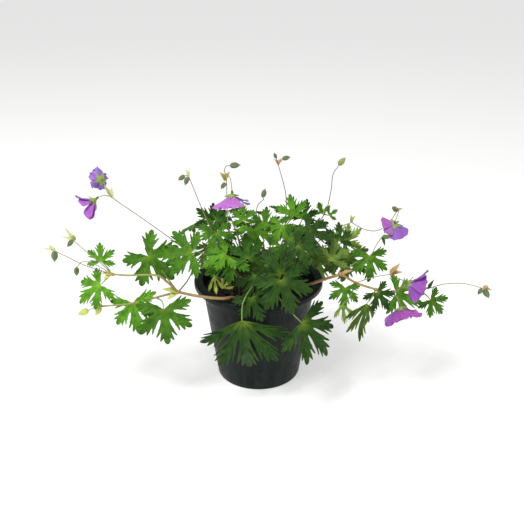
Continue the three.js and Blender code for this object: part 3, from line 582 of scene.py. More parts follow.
# Each clump: where it stands, then for each leaf the foot of the blade, its tip, the side it faces and its tint.
# A stalk that doesn't rise in an arc goes via other points, and a blade may droop or spread less than most.
TUFTS = {
    "tuft_front": ((4, -24), (
        ((21, -70, 137), (33, -83, 108), (0, -0.8, 0.6), "dark"),
        ((-15, -72, 97), (-8, -77, 34), (0, -1, 0.15), "dark",
         {"via": ((-5, -52, 122), (-14, -69, 113)), "droop": 0.14, "spread": 0.6}),
        ((-6, -62, 115), (4, -73, 96), (0.1, -0.8, 0.6), "dark"),
        ((-3, -49, 133), (-12, -57, 110), (-0.1, -0.8, 0.6), "dark", {"spread": 0.8}),
        ((6, -44, 141), (-5, -49, 123), (-0.1, -0.8, 0.6), "olive"),
        ((21, -61, 139), (4, -53, 161), (0, -0.9, 0.45), "dark"),
        ((-10, -46, 148), (-12, -38, 170), (0, -0.9, 0.45), "deep"),
    )),
    "tuft_front_right": ((14, -12), (
        ((40, -71, 94), (70, -78, 64), (0.4, -0.8, 0.65), "dark",
         {"via": ((16, -50, 119), (22, -65, 112)), "spread": 0.8}),
        ((36, -48, 161), (59, -54, 158), (0.15, -0.7, 0.7), "dark"),
        ((70, -29, 138), (73, -20, 158), (0.1, 0.9, 0.3), "olive"),
        ((46, -22, 166), (71, -30, 160), (0.15, -0.7, 0.7), "dark"),
        ((29, -30, 161), (52, -38, 160), (0.1, -0.7, 0.7), "deep"),
        ((31, -42, 141), (36, -54, 123), (0.1, -0.6, 0.8), "dark"),
        ((22, -33, 155), (12, -42, 139), (-0.1, -0.7, 0.7), "mid", {"spread": 0.8}),
        ((53, -28, 144), (67, -36, 136), (0.2, -0.6, 0.75), "olive"),
        ((86, -14, 137), (85, -20, 107), (0.1, -0.8, 0.6), "olive"),
    )),
    "tuft_front_left": ((-9, -12), (
        ((-39, -27, 166), (-30, -39, 151), (-0.1, -0.7, 0.7), "mid", {"via": ((-20, -26, 140),)}),
        ((-30, -48, 152), (-52, -55, 149), (-0.1, -0.45, 0.9), "bright"),
        ((-25, -40, 147), (-49, -48, 131), (-0.2, -0.7, 0.7), "mid"),
        ((-23, -39, 141), (-29, -31, 160), (0, -0.9, 0.45), "dark"),
    )),
    "tuft_young": ((-26, -30), (
        ((-42, -38, 127), (-39, -42, 110), (-0.1, -0.9, 0.45), "young", {**CURLED, "spread": 0.4}),
        ((-35, -38, 113), (-24, -42, 126), (0.1, -0.9, 0.45), "young", {**CURLED, "spread": 0.4}),
    )),
    "tuft_left": ((-19, 8), (
        ((-45, 12, 163), (-60, 8, 177), (-0.2, -0.8, 0.5), "deep"),
        ((-66, 32, 152), (-88, 38, 136), (-0.6, 0.25, 0.75), "mid"),
        ((-74, 10, 134), (-97, 8, 114), (-0.8, 0, 0.5), "mid"),
        ((-43, 0, 157), (-59, -4, 164), (-0.2, -0.75, 0.6), "mid"),
        ((-42, 4, 167), (-26, 8, 170), (0.1, -0.55, 0.85), "deep"),
    )),
    "tuft_top": ((4, -6), (
        ((-14, -12, 173), (-15, -8, 188), (0, -0.85, 0.5), "bright"),
        ((6, -5, 163), (8, 1, 182), (0, -0.85, 0.5), "mid"),
        ((34, -6, 175), (30, 0, 195), (-0.1, -0.8, 0.55), "bright"),
        ((-4, -21, 167), (0, -35, 151), (0, -0.65, 0.75), "bright"),
        ((22, -14, 168), (13, -26, 155), (-0.1, -0.6, 0.8), "bright"),
    )),
    "tuft_right": ((26, -2), (
        ((83, -12, 150), (101, -6, 161), (-0.2, 0.9, 0.1), "pale"),
        ((44, 6, 169), (49, 10, 186), (0.2, -0.85, 0.5), "dark"),
        ((84, 34, 128), (104, 42, 104), (0.8, 0.2, 0.5), "mid"),
        ((56, 42, 154), (71, 50, 142), (0.5, 0.3, 0.8), "dark"),
        ((77, -18, 154), (78, -12, 171), (0.05, -0.9, 0.45), "dark"),
    )),
    "tuft_back_left": ((-15, 20), (
        ((-33, 56, 158), (-43, 76, 143), (-0.25, 0.5, 0.8), "mid"),
        ((-52, 64, 114), (-68, 80, 88), (-0.6, 0.75, 0.35), "mid", {"via": ((-32, 44, 124),)}),
        ((-28, 28, 160), (-36, 44, 154), (-0.2, 0.2, 0.95), "deep"),
        ((-34, 32, 152), (-52, 30, 142), (-0.3, 0, 0.95), "dark"),
    )),
    "tuft_back": ((2, 24), (
        ((-6, 44, 161), (-10, 65, 149), (0, 0.4, 0.9), "mid"),
        ((-8, 32, 153), (-12, 50, 146), (-0.1, 0.2, 0.95), "deep"),
        ((-8, 74, 134), (-12, 88, 108), (-0.1, 0.85, 0.55), "bright"),
        ((6, 80, 98), (2, 84, 58), (0, 1, 0.15), "dark", {"via": ((5, 50, 116), (6, 72, 112)), "droop": 0.14}),
    )),
    "tuft_back_right": ((16, 28), (
        ((30, 42, 164), (40, 63, 151), (0.2, 0.4, 0.9), "mid"),
        ((26, 32, 150), (31, 50, 142), (0.1, 0.3, 0.9), "deep"),
        ((56, 62, 134), (74, 80, 114), (0.5, 0.6, 0.65), "mid"),
        ((32, 72, 130), (37, 88, 102), (0.2, 0.9, 0.45), "dark"),
        ((62, 64, 100), (76, 76, 70), (0.6, 0.7, 0.35), "mid", {"via": ((38, 44, 118), (56, 58, 112))}),
    )),
}


# %% Grow the mound
def tuft(name, root, rows):
    """One clump: a short scaly stem in the soil and its leaves."""
    x, y = root
    head = SOIL_TOP + CROWN["height"]
    blades = []
    stalks = [stalk([(x, y, SOIL_TOP - ROOT_DEPTH), (x, y, head)], CROWN["radius"], CROWN["tip_radius"],
                    TINTS["brown"], TINTS["red"])]
    for at, tip, face, tint, *more in rows:
        form = dict(*more)
        arc = ((x + ARC["out"] * (at[0] - x), y + ARC["out"] * (at[1] - y),
                head + ARC["up"] * (at[2] - head)),)
        rise = form.pop("via", arc)
        blade, stem = leaf([(x, y, SOIL_TOP + CROWN["stalks_from"]), *rise, at], tip, face, tint, **form)
        blades.append(blade)
        stalks.append(stem)
    piece(f"{name}_leaves", blades, name)
    piece(f"{name}_stalks", stalks, name)


for name, (root, rows) in TUFTS.items():
    tuft(name, root, rows)
    print(name, "has", len(rows), "leaves")


# %% [markdown]
# ## Buds and bracts
#
# A bud is an egg of five green sepals with pale seams between them and a drawn-out tip. It could be lathed from
# a profile, but a sphere with many segments already closes at both ends. So its rings are moved to the profile
# and its segments are pulled in at the seams. Bracts are the thin pointed scales at the stem's joints.

# %% Finish of the buds
def bud_finish():
    """Green with five pale seams, and a reddish point."""
    made, tree, shader = surface("bud_skin")
    around, along = leaf_map(tree)
    seam = math_node(tree, "ABSOLUTE", math_node(
        tree, "SUBTRACT", math_node(tree, "FRACT", math_node(tree, "MULTIPLY", around, 5.0)), 0.5))
    pale = ramp(tree, seam, 0.36, 0.5, 0.0, 0.45)
    base = blend(tree, pale, tint_of(tree), colour("#a3b172"))
    base = blend(tree, ramp(tree, along, 0.78, 0.98, 0.0, 0.5), base, colour("#8c5540"))
    base = blend(tree, ramp(tree, noise(tree, 700), 0.35, 0.7), base, (1.25, 1.25, 1.2, 1), "MULTIPLY")
    tree.links.new(base, shader.inputs["Base Color"])
    relief(tree, shader, noise(tree, 1800, 2.0), 0.12)
    shader.inputs["Roughness"].default_value = 0.6
    shader.inputs["Sheen Weight"].default_value = 0.4
    return made


# %% One bud
BUD = {"length": 10.5, "radius": 2.75, "sepals": 5, "seam_depth": 0.08, "twist": 0.5}
BUD_OUTLINE = ((0, 0), (0.05, 0.5), (0.16, 0.86), (0.36, 1.0), (0.58, 0.92), (0.74, 0.6), (0.85, 0.27),
               (0.93, 0.1), (1, 0))
BUD_FACE = (0.3, -0.5, 0.8)

bpy.ops.mesh.primitive_uv_sphere_add(segments=20, ring_count=16, radius=1)
bud_master = bpy.context.object
bud_master.name = "bud"
spots = points_of(bud_master)
along = (spots[:, 2] + 1) / 2
angle = np.arctan2(spots[:, 1], spots[:, 0])
radius = np.interp(along, *zip(*BUD_OUTLINE))
radius *= 1 + BUD["seam_depth"] * np.cos(BUD["sepals"] * angle)
set_points(bud_master, np.stack([
    radius * np.cos(angle + BUD["twist"] * along), radius * np.sin(angle + BUD["twist"] * along), along], 1))
bpy.ops.object.shade_smooth()
bud_master.data.materials.append(bud_finish())
hide(bud_master)


def bud(foot, tip, scale=1.0, tint="bud"):
    """A bud that hangs or stands from its foot towards its tip."""
    forward, normal, side = blade_axes(np.array(tip) - np.array(foot, float), BUD_FACE)
    x, y, z = points_of(bud_master).T * scale
    spots = np.array(foot, float) + np.outer(x, normal) * BUD["radius"] + np.outer(y, side) * BUD["radius"]
    return copy_of(bud_master, (spots + np.outer(z, forward) * BUD["length"]) * MM, TINTS[tint])


print("a bud has", len(bud_master.data.polygons), "faces")

# %% Thin blades from grids
def grid_blade(name, rows, across, outline, materials):
    """A flat pointed blade of unit length along Y. Its outline gives the half width at each share of its length.
    Its map runs from 0 to 1 along the blade and from side to side."""
    bpy.ops.mesh.primitive_grid_add(x_subdivisions=across, y_subdivisions=rows, size=1)
    made = bpy.context.object
    spots = points_of(made)
    along = spots[:, 1] + 0.5
    set_points(made, np.stack([2 * spots[:, 0] * np.interp(along, *zip(*outline)), along, 0 * along], 1))
    mark(made, "across", 2 * spots[:, 0])
    return hide(thick_sheet(name, [made], materials))


BRACT_OUTLINE = ((0, 0.22), (0.15, 0.42), (0.4, 0.5), (0.7, 0.28), (0.9, 0.08), (1, 0.01))
bract_master = grid_blade("bract", 8, 4, BRACT_OUTLINE, [bract_paper])
BRACT_FACE = (0, -0.6, 1)
BRACT = {"arch": 0.5, "cup": 1.2, "thickness": 0.45}


def bracts(at, tips, width=3.0, tint="stipule"):
    """Pointed scales that spread from a joint towards the given tips, each a little cupped."""
    made = []
    for tip in tips:
        reach = np.array(tip, float) - at
        forward, normal, side = blade_axes(reach, BRACT_FACE)
        x, y, z = points_of(bract_master).T
        height = BRACT["arch"] * np.sin(math.pi * y) + BRACT["cup"] * x ** 2 * width + BRACT["thickness"] * z
        spots = np.array(at, float) + np.outer(x * width, side) + np.outer(y, reach)
        made.append(copy_of(bract_master, (spots + np.outer(height, normal)) * MM, TINTS[tint]))
    return made


KNOT = {"thin": 0.8, "long": 1.5}


def knob(at, radius, along, tint="tan"):
    """The swollen joint of a stem, an egg that lies along it."""
    bpy.ops.mesh.primitive_uv_sphere_add(segments=14, ring_count=10, radius=radius * MM)
    made = bpy.context.object
    turn = Vector(along).to_track_quat("Z", "Y").to_matrix()
    stretch = np.array(turn) @ np.diag((KNOT["thin"], KNOT["thin"], KNOT["long"]))
    set_points(made, points_of(made) @ stretch.T + np.array(at) * MM)
    bpy.ops.object.shade_smooth()
    made.data.materials.append(stem_skin)
    dye(made, colour(TINTS[tint]))
    return made


print("a bract has", len(bract_master.data.polygons), "faces")

# %% [markdown]
# ## Flowers
#
# Each flower has five broad petals that overlap like tiles, five pointed sepals behind the gaps between them,
# ten stamens and a column with five stigmas. A petal is a grid that widens from a narrow foot to a round end
# with a shallow notch. It leans out from the flower's axis and ruffles towards its edge. Fine dark veins fan
# out over it, and its foot is almost white.

# %% Finish of the petals
def petal_finish(name, paler, vein_share):
    """One side of a petal: the tint of the mesh, pale at the foot, with dark veins that fan out."""
    made, tree, shader = surface(name)
    side, along = leaf_map(tree)
    wobble = math_node(tree, "MULTIPLY", noise(tree, 400, 2.0), 0.09)
    fan = math_node(tree, "ADD", side, wobble)
    stripes = math_node(tree, "ABSOLUTE", math_node(
        tree, "SUBTRACT", math_node(tree, "FRACT", math_node(tree, "MULTIPLY", fan, 9.0)), 0.5))
    lines = ramp(tree, stripes, 0.0, 0.16, 1.0, 0.0)
    veins = math_node(tree, "MULTIPLY", lines, ramp(tree, along, 0.35, 1.0, 1.0, 0.15))
    base = blend(tree, paler, tint_of(tree), colour("#d9a8e2"))
    base = blend(tree, ramp(tree, noise(tree, 220, 4.0), 0.35, 0.75), base, (0.84, 0.7, 0.9, 1), "MULTIPLY")
    dark = blend(tree, 0.72, base, (0.3, 0.12, 0.5, 1), "MULTIPLY")
    base = blend(tree, math_node(tree, "MULTIPLY", veins, vein_share), base, dark)
    base = blend(tree, ramp(tree, along, 0.06, 0.26, 0.75, 0.0), base, colour("#ead9ef"))
    tree.links.new(base, shader.inputs["Base Color"])
    height = math_node(tree, "ADD", math_node(tree, "MULTIPLY", veins, -0.8), noise(tree, 900))
    relief(tree, shader, height, 0.16)
    shader.inputs["Roughness"].default_value = 0.5
    shader.inputs["Sheen Weight"].default_value = 0.35
    shader.inputs["Sheen Roughness"].default_value = 0.35
    shader.inputs["Subsurface Weight"].default_value = 0.2
    shader.inputs["Subsurface Radius"].default_value = (1.0, 0.4, 1.0)
    shader.inputs["Subsurface Scale"].default_value = 0.8 * MM
    return made


# %% Petal and sepal
PETAL_OUTLINE = ((0, 0.05), (0.12, 0.09), (0.3, 0.21), (0.5, 0.32), (0.7, 0.40), (0.84, 0.41),
                 (0.94, 0.36), (1, 0.27))
SEPAL_OUTLINE = ((0, 0.14), (0.2, 0.2), (0.45, 0.23), (0.7, 0.16), (0.86, 0.06), (0.92, 0.02), (1, 0.008))
PETAL = {"arch": 0.06, "cup": 0.5, "twist": 0.45, "end": 0.15, "notch": 0.035, "notch_width": 0.16}
SEPAL = {"count": 5, "length": 7.4, "start": -0.35}
petal_face = petal_finish("petal_face", 0.0, 0.75)
petal_back = petal_finish("petal_back", 0.12, 0.6)
petal_master = grid_blade("petal", 16, 14, PETAL_OUTLINE, [petal_face, petal_back])
sepal_master = grid_blade("sepal", 12, 4, SEPAL_OUTLINE, [bract_paper])

# The round end of a petal: its outer rows bow back at the sides and have a notch in the middle.
x, y, z = points_of(petal_master).T
across = read(petal_master, "across")
notch = PETAL["notch"] * np.exp(-(across / PETAL["notch_width"]) ** 2) * y ** 10
y = y - PETAL["end"] * across ** 2 * y ** 4 - notch
set_points(petal_master, np.stack([x, y, z], 1))

# Each flower: where it sits, the way it faces, how far its sepals lean out, and for each petal its tip, its width
# and, where it isn't the usual one, the side it faces and its tint.
# A petal's own tint is painted light and shade: darker tints stand for petals that lie in shade, paler ones for
# petals that catch the light.
FLOWERS = {
    "left_upper": {
        "at": (-142, -26, 217), "facing": (-0.6, 0.85, -0.05), "lean": 66, "tint": "#8c68c4", "ruffle": 1.3,
        "petals": (((-148, -16, 226), 0.85), ((-140, -12, 215), 0.8), ((-143, -17, 205), 0.85),
                   ((-152, -22, 208), 0.9), ((-154, -22, 221), 0.9, None, "#a673cc")),
    },
    "left_lower": {
        "at": (-148, -30, 200), "facing": (-0.75, -0.2, -0.6), "lean": 50, "tint": "#b366c8", "ruffle": 0.8,
        "petals": (((-167, -30, 203), 0.5, (-0.16, -0.5, -0.85), "#7f6cc0"),
                   ((-163, -36, 200), 0.8, (-0.05, 0.4, -0.9)), ((-155, -36, 182), 0.8, (-0.5, -0.8, 0.2)),
                   ((-157, -24, 182), 0.7, (-0.5, 0.8, 0.2)), ((-154, -40, 184), 0.6, (-0.6, -0.7, 0))),
    },
    "centre": {
        "at": (-23, -42, 209), "facing": (0.05, -0.12, -1), "lean": 70, "tint": "#c46fcf", "ruffle": 0.8,
        "petals": (((-41, -50, 198), 0.8), ((-29, -60, 201), 1.0), ((-19, -60, 202), 1.0),
                   ((-7, -45, 200), 0.6, (-0.5, -0.15, -0.85), "#6d4a9c"), ((-9, -32, 199), 0.7, None, "#7d52ab")),
    },
    "right_upper": {
        "at": (131, -10, 169), "facing": (0.1, 0.5, -0.85), "lean": 72, "tint": "#8f55bb", "ruffle": 0.9,
        "petals": (((117, -12, 172), 1.1, None, "#ad56b4"), ((121, -20, 162), 0.8, None, "#a06fb0"),
                   ((131, -24, 157), 1.05), ((143, -16, 159), 1.0), ((140, -4, 164), 0.6)),
    },
    "right_outer": {
        "at": (143, -34, 118), "facing": (1, -0.05, -0.3), "lean": 48, "tint": "#a04fbd", "ruffle": 0.9,
        "petals": (((160, -40, 133), 0.5, (0.5, -0.2, -0.7), "#8a4fae"), ((158, -48, 122), 1.05),
                   ((151, -44, 101), 0.85, (0.6, 0.7, 0)), ((162, -30, 106), 0.9), ((163, -24, 118), 1.0)),
    },
    "right_lower": {
        "at": (136, -47, 98), "facing": (0.25, -0.35, -0.9), "lean": 68, "tint": "#ad45b4", "ruffle": 1.1,
        "petals": (((156, -52, 92), 0.75, (-0.3, 0.1, -0.9)), ((141, -64, 95), 0.9),
                   ((126, -62, 89), 0.8, None, "#9c40ac"),
                   ((121, -55, 81), 0.5, (-0.3, 0.3, -0.6), "#8f3fa6"), ((153, -36, 88), 0.8)),
    },
}


def flower_axes(facing):
    """The flower's axis and two directions across it."""
    axis = np.array(facing, float) / np.linalg.norm(facing)
    start = np.array((1.0, 0, 0) if abs(axis[2]) > 0.9 else (0, 0, 1.0))
    east = start - np.dot(start, axis) * axis
    east /= np.linalg.norm(east)
    return axis, east, np.cross(axis, east)


def flower_blade(master, flower, tip, tint, width=1.0, face=None, ruffle=0.35, start=0.6, thickness=0.3):
    """One petal or sepal, from the cup of its flower to its tip. It faces along the flower's axis unless told
    otherwise, bows a little, is cupped along its middle and ruffled towards its edge."""
    axis = flower_axes(flower["facing"])[0]
    foot = np.array(flower["at"], float) + start * axis
    reach = np.array(tip, float) - foot
    size = np.linalg.norm(reach)
    forward, normal, side = blade_axes(reach, axis if face is None else face)
    x, y, z = points_of(master).T
    across = read(master, "across")
    wave = np.sin(5 * across + chance.uniform(0, 6))
    wave += 0.5 * np.sin(11 * across + 4 * y + chance.uniform(0, 6))
    height = size * (PETAL["arch"] * np.sin(math.pi * y) + PETAL["cup"] * width * x ** 2) + z * thickness
    height += ruffle * y ** 3 * wave + PETAL["twist"] * across * np.sin(math.pi * np.clip(y, 0, 1))
    spots = foot + size * (np.outer(width * x, side) + np.outer(y, forward)) + np.outer(height, normal)
    return copy_of(master, spots * MM, tint)


def cup_foot(flower, below=2.0):
    """Where a flower's stalk enters its cup."""
    return tuple(np.array(flower["at"]) - below * flower_axes(flower["facing"])[0])


def calyx(flower):
    """The green cup of a flower and its five pointed sepals, which lie behind the gaps between the petals."""
    axis, east, north = flower_axes(flower["facing"])
    made = [knob(cup_foot(flower, 1.2), 1.5, flower["facing"], "bud")]
    for i in range(SEPAL["count"]):
        turn = 2 * math.pi * (i + 0.5) / SEPAL["count"]
        lean = math.radians(flower["lean"] + chance.uniform(-5, 9))
        out = math.sin(lean) * (math.cos(turn) * east + math.sin(turn) * north) + math.cos(lean) * axis
        tip = np.array(flower["at"]) + SEPAL["length"] * out
        made.append(flower_blade(sepal_master, flower, tip, TINTS["sepal"], start=SEPAL["start"], thickness=0.5))
    return made


print("a petal has", len(petal_master.data.polygons), "faces")

# %% The heart of a flower
HEART = {"column": 7.4, "stigmas": 5, "stamens": 10, "anther": 0.6}


def heart(flower):
    """The column with five stigmas and ten stamens with dark anthers."""
    axis, east, north = flower_axes(flower["facing"])
    at = np.array(flower["at"], float)

    def spot(angle, out, height):
        return tuple(at + axis * height + out * (math.cos(angle) * east + math.sin(angle) * north))

    parts = [stalk([spot(0, 0, 0.3), spot(0, 0, 4), spot(0, 0, HEART["column"])], 0.75, 0.4, "#c58fd0")]
    for i in range(HEART["stigmas"]):
        turn = 2 * math.pi * i / HEART["stigmas"]
        branch = [spot(turn, 0.1, 7.0), spot(turn, 0.7, 8.2), spot(turn, 1.7, 8.5)]
        parts.append(stalk(branch, 0.32, 0.18, "#9a3f8e"))
    for i in range(HEART["stamens"]):
        turn = 2 * math.pi * (i + 0.25) / HEART["stamens"]
        out = 2.0 + 0.5 * (i % 2)
        thread = [spot(turn, 0.5, 0.8), spot(turn, 1.1, 3.6), spot(turn, out, 6)]
        parts.append(stalk(thread, 0.26, 0.16, "#d9b3dd"))
        parts.append(knob(spot(turn, out, 6.1), HEART["anther"], np.cross(axis, east) + 0.3 * axis, "anther"))
    return parts


for name, flower in FLOWERS.items():
    petals = []
    for tip, width, *more in flower["petals"]:
        face, tint = (*more, None, None)[:2]
        petals.append(flower_blade(petal_master, flower, tip, tint or flower["tint"], width, face,
                                   flower["ruffle"]))
    corolla = piece(f"corolla_{name}", petals, f"petals_{name}")
    piece(f"stamens_{name}", heart(flower), f"petals_{name}")
    print("flower", name, "has", len(petals), "petals and is", round(max(corolla.dimensions) / MM), "mm wide")

# %% [markdown]
# ## Shoots and stems
#
# Two leafy shoots trail over the lip, and slim stems carry the flowers and buds over the mound. Their stalks
# start brown in the soil, turn tan-red in the light and green at the ends, and their joints are swollen. Each
# spray is listed as its stalks, joints, bracts, buds, leaves and flowers, at the places of its solid.

# %% Where the shoots grow
# Each kind of stalk: its radius at the start and at the end, and its tint there.
STEM_KINDS = {"trailing": (1.6, 1.35, "brown", "tan"), "branch": (1.25, 0.85, "tan", "stem"),
              "flower": (0.62, 0.4, "grey", "plum"), "pedicel": (0.45, 0.4, "plum", "stem")}

SHOOTS = {
    "shoot_left": {
        "root": (-12, -26),
        "rise": ("trailing", (-19, -43, 104.5), (-25, -51, 110), (-33, -56, 111.5), (-54, -53, 112),
                 (-76, -44, 112)),
        "stalks": (
            ("branch", (-76, -44, 112), (-88, -46, 110), (-118, -53, 105), (-148, -50, 100)),
            ("branch", (-76, -44, 112), (-85, -47, 124), (-93, -50, 132), (-122, -49, 132), (-138, -40, 129)),
            ("pedicel", (-138, -40, 129), (-150, -37, 141), (-160, -35, 149), (-173, -33, 161)),
            ("pedicel", (-138, -40, 129), (-162, -42, 139), (-178, -42, 148), (-189, -40, 153)),
            ("pedicel", (-138, -40, 129), (-156, -34, 137), (-166, -34, 139), (-172, -35, 134)),
            ("pedicel", (-144, -50.4, 100.7), (-155, -49.5, 98.5), (-161, -50, 96)),
        ),
        "joints": (((-76, -44, 112), 2.3, (-1, 0.1, 0)), ((-138, -40, 129), 2.1, (-1, 0, 0.3))),
        "bracts": (
            ((-76, -44, 112), ((-91, -47, 117), (-86, -52, 108)), 6, "stipule"),
            ((-138, -40, 129), ((-148, -40, 130), (-146, -44, 125)), 5, "stipule"),
            ((-172, -32, 160), ((-180, -32, 174), (-184, -32, 164)), 3, "cream"),
            ((-188, -40, 153), ((-199, -42, 156), (-195, -40, 159)), 3, "cream"),
            ((-148, -50, 100), ((-160, -48, 102),), 5, "stipule"),
        ),
        "buds": (
            ((-173, -33, 161), (-179, -36, 154), 0.85), ((-171, -32, 160), (-176, -30, 167), 0.75, "husk"),
            ((-189, -40, 153), (-190, -42, 139), 1.1), ((-172, -35, 134), (-173, -36, 124), 0.9, "olive"),
            ((-149, -50.3, 99.4), (-158, -54, 87), 1.0, "young"), ((-161, -50, 96), (-172, -52, 92), 1.15, "young"),
        ),
        "leaves": (
            (((-96, -48, 108), (-90, -54, 107), (-88, -60, 102)), (-85, -70, 68), (0.1, -0.9, 0.45), "mid"),
            (((-110, -52, 106), (-118, -53, 105)), (-112, -64, 77), (-0.1, -0.8, 0.6), "fresh"),
            (((-76, -44, 112), (-66, -40, 124), (-60, -38, 140), (-62, -40, 151)), (-94, -42, 153),
             (0, -0.7, 0.7), "mid"),
            (((-76, -44, 112), (-86, -39, 124), (-96, -34, 136), (-104, -34, 145)), (-80, -40, 123),
             (0, -0.9, 0.4), "mid", {"spread": 1.2}),
            (((-138, -40, 129), (-145, -32, 134), (-150, -30, 138)), (-150, -24, 155), (0, -1, 0.4), "fresh"),
            (((-138, -40, 129), (-144, -42, 124), (-150, -42, 118)), (-172, -50, 106), (-0.1, -0.7, 0.7), "fresh"),
        ),
    },
    "shoot_right": {
        "root": (22, -20),
        "rise": ("trailing", (46, -30, 112), (64, -34, 121), (79, -36, 127)),
        "stalks": (
            ("branch", (79, -36, 127), (93, -38, 119), (112, -40, 113), (128, -34, 106), (148, -14, 104),
             (166, -26, 107)),
            ("pedicel", (93, -38, 119), (110, -34, 123), (126, -34, 126)),
            ("pedicel", (126, -34, 126), (133, -33, 121.5), "right_outer"),
            ("pedicel", (126, -35, 107), (132, -42, 106), "right_lower"),
            ("pedicel", (79, -36, 127), (92, -30, 132), (107, -26, 142), (112, -27, 154), (117, -29, 164)),
            ("pedicel", (166, -26, 107), (182, -28, 113), (200, -30, 114), (218, -30, 109)),
        ),
        "joints": (((79, -36, 127), 2.5, (1, 0, -0.4)), ((93, -38, 119), 1.9, (1, 0, -0.4)),
                   ((112, -40, 113), 1.9, (1, 0.2, -0.3))),
        "bracts": (
            ((79, -36, 127), ((89, -40, 133),), 4, "spent"),
            ((126, -34, 126), ((135, -32, 137), (130, -39, 136), (137, -37, 130)), 5, "spent"),
            ((116, -29, 162), ((119, -31, 154),), 3, "dark"),
            ((166, -26, 107), ((170, -28, 118),), 3.5, "deep"),
            ((218, -30, 109), ((227, -30, 107), (223, -30, 112)), 3.5, "spent"),
        ),
        "buds": (((116, -29, 163), (123, -30, 162), 0.8, "olive"), ((217, -30, 109), (213, -32, 103), 0.75),
                 ((219, -30, 108), (226, -31, 97), 1.1)),
        "leaves": (
            (((79, -36, 127), (92, -30, 136), (106, -26, 142)), (107, -38, 120), (0.2, -0.8, 0.6), "mid"),
            (((112, -40, 113), (113, -43, 111)), (125, -52, 98), (0.2, -0.9, 0.45), "dark"),
            (((112, -40, 113), (107, -48, 108), (102, -52, 104)), (93, -60, 69), (0.7, -0.65, 0.3), "olive",
             {"spread": 0.55}),
            (((152, -15, 104), (162, -30, 103), (167, -35, 99)), (181, -41, 87), (0.1, -0.9, 0.5), "mid"),
            (((128, -34, 106), (133, -25, 104), (137, -20, 98)), (163, -14, 84), (0.2, -0.7, 0.7), "fresh"),
            (((93, -38, 119), (86, -43, 115), (82, -45, 117)), (80, -57, 101), (0.1, -0.8, 0.6), "mid"),
            (((93, -38, 119), (86, -50, 110), (79, -57, 106)), (80, -62, 89), (0.1, -0.9, 0.4), "pale",
             CURLED),
        ),
        "flowers": ("right_outer", "right_lower"),
    },
}

STEMS = {
    "flower_stem_left": {
        "root": (-27, -6),
        "rise": ("flower", (-42, -12, 113), (-58, -16, 132), (-86, -20, 159), (-134, -26, 200)),
        "stalks": (("pedicel", (-134, -26, 200), (-137, -29, 208), "left_upper"),
                   ("pedicel", (-134, -26, 200), (-140, -28, 203), "left_lower")),
        "bracts": (((-134, -26, 200), ((-141, -24, 211), (-133, -28, 211)), 4.5, "cream"),),
        "flowers": ("left_upper", "left_lower"),
    },
    "flower_stem_centre": {
        "root": (-19, -18),
        "rise": ("flower", (-26, -20, 140), (-29, -19, 180), (-29, -18, 219)),
        "stalks": (("pedicel", (-29, -18, 219), (-31, -18, 223), (-29, -18, 227.5), (-25, -18, 228)),
                   ("pedicel", (-29, -18, 219), (-26, -26, 220), (-24, -38, 218), "centre")),
        "bracts": (((-30, -18, 214), ((-35, -19, 222), (-26, -20, 223)), 5.5, "gold"),),
        "buds": (((-26, -18, 228), (-16, -18, 228.5), 1.0), ((-30, -18.3, 212), (-36, -20, 204.5), 0.75)),
        "flowers": ("centre",),
    },
    "flower_stem_right": {
        "root": (31, 10),
        "rise": ("flower", (46, 16, 122), (74, 18, 150), (92, 8, 163)),
        "stalks": (("pedicel", (92, 8, 163), (104, 2, 158), (116, 3, 156), (127, 9, 159), (133, 12, 166),
                    (136, 9, 174)),
                   ("pedicel", (136, 9, 174), (136, 1, 177), (133, -8, 175), "right_upper")),
        "bracts": (((92, 8, 163), ((95, 4, 172), (91, 8, 171.5)), 3.5, "stipule"),
                   ((136, 9, 174), ((141, 7, 178),), 4, "spent")),
        "buds": (((136, 8, 175), (130, 4, 181), 0.9),),
        "flowers": ("right_upper",),
    },
    "bud_stem_left": {
        "root": (-30, 4),
        "rise": ("flower", (-42, -6, 150), (-55, -8, 186), (-65, -8, 215)),
        "stalks": (("pedicel", (-65, -8, 215), (-69, -9, 216)),),
        "bracts": (((-65, -8, 215), ((-67, -9, 222), (-64, -8, 222)), 3, "cream"),),
        "buds": (((-68.5, -9, 216), (-75.5, -9, 211), 0.8), ((-65.5, -8.5, 214.5), (-69, -11, 206), 0.85)),
    },
    "bud_stem_middle": {
        "root": (0, 2),
        "rise": ("pedicel", (-3, 8, 150), (-1, 8, 180), (5, 2, 189), (4, -4, 193)),
        "buds": (((4, -4, 193), (7, -4, 203), 0.9),),
    },
    "bud_stem_tall": {
        "root": (13, 11),
        "rise": ("flower", (26, 18, 146), (27, 15, 188), (19, 6, 222)),
        "stalks": (("pedicel", (19, 6, 222), (17, 5, 229)), ("pedicel", (19, 6, 222), (23, 5, 228))),
        "bracts": (((19, 6, 222), ((15, 5, 228), (22, 5, 229)), 3.5, "spent"),),
        "buds": (((17, 5, 228.5), (14.5, 5, 235), 0.6), ((22.5, 5, 228), (29, 5, 229.5), 0.8)),
    },
    "bud_stem_right": {
        "root": (25, 18),
        "rise": ("flower", (46, 26, 138), (66, 20, 167), (71, 14, 194), (72, 10, 212), (77, 6, 222)),
        "bracts": (((66, 20, 167), ((63, 16, 176),), 3, "stipule"),),
        "leaves": (
            (((66, 20, 167), (63, 18, 169)), (59, 16, 182), (0, -0.9, 0.4), "bright", SMALL),
            (((66, 20, 167), (71, 20, 166)), (79, 20, 172), (0, -0.9, 0.4), "bright", SMALL),
        ),
        "buds": (((76, 6, 221.5), (83.5, 6, 230.5), 1.0, "husk"),),
    },
}


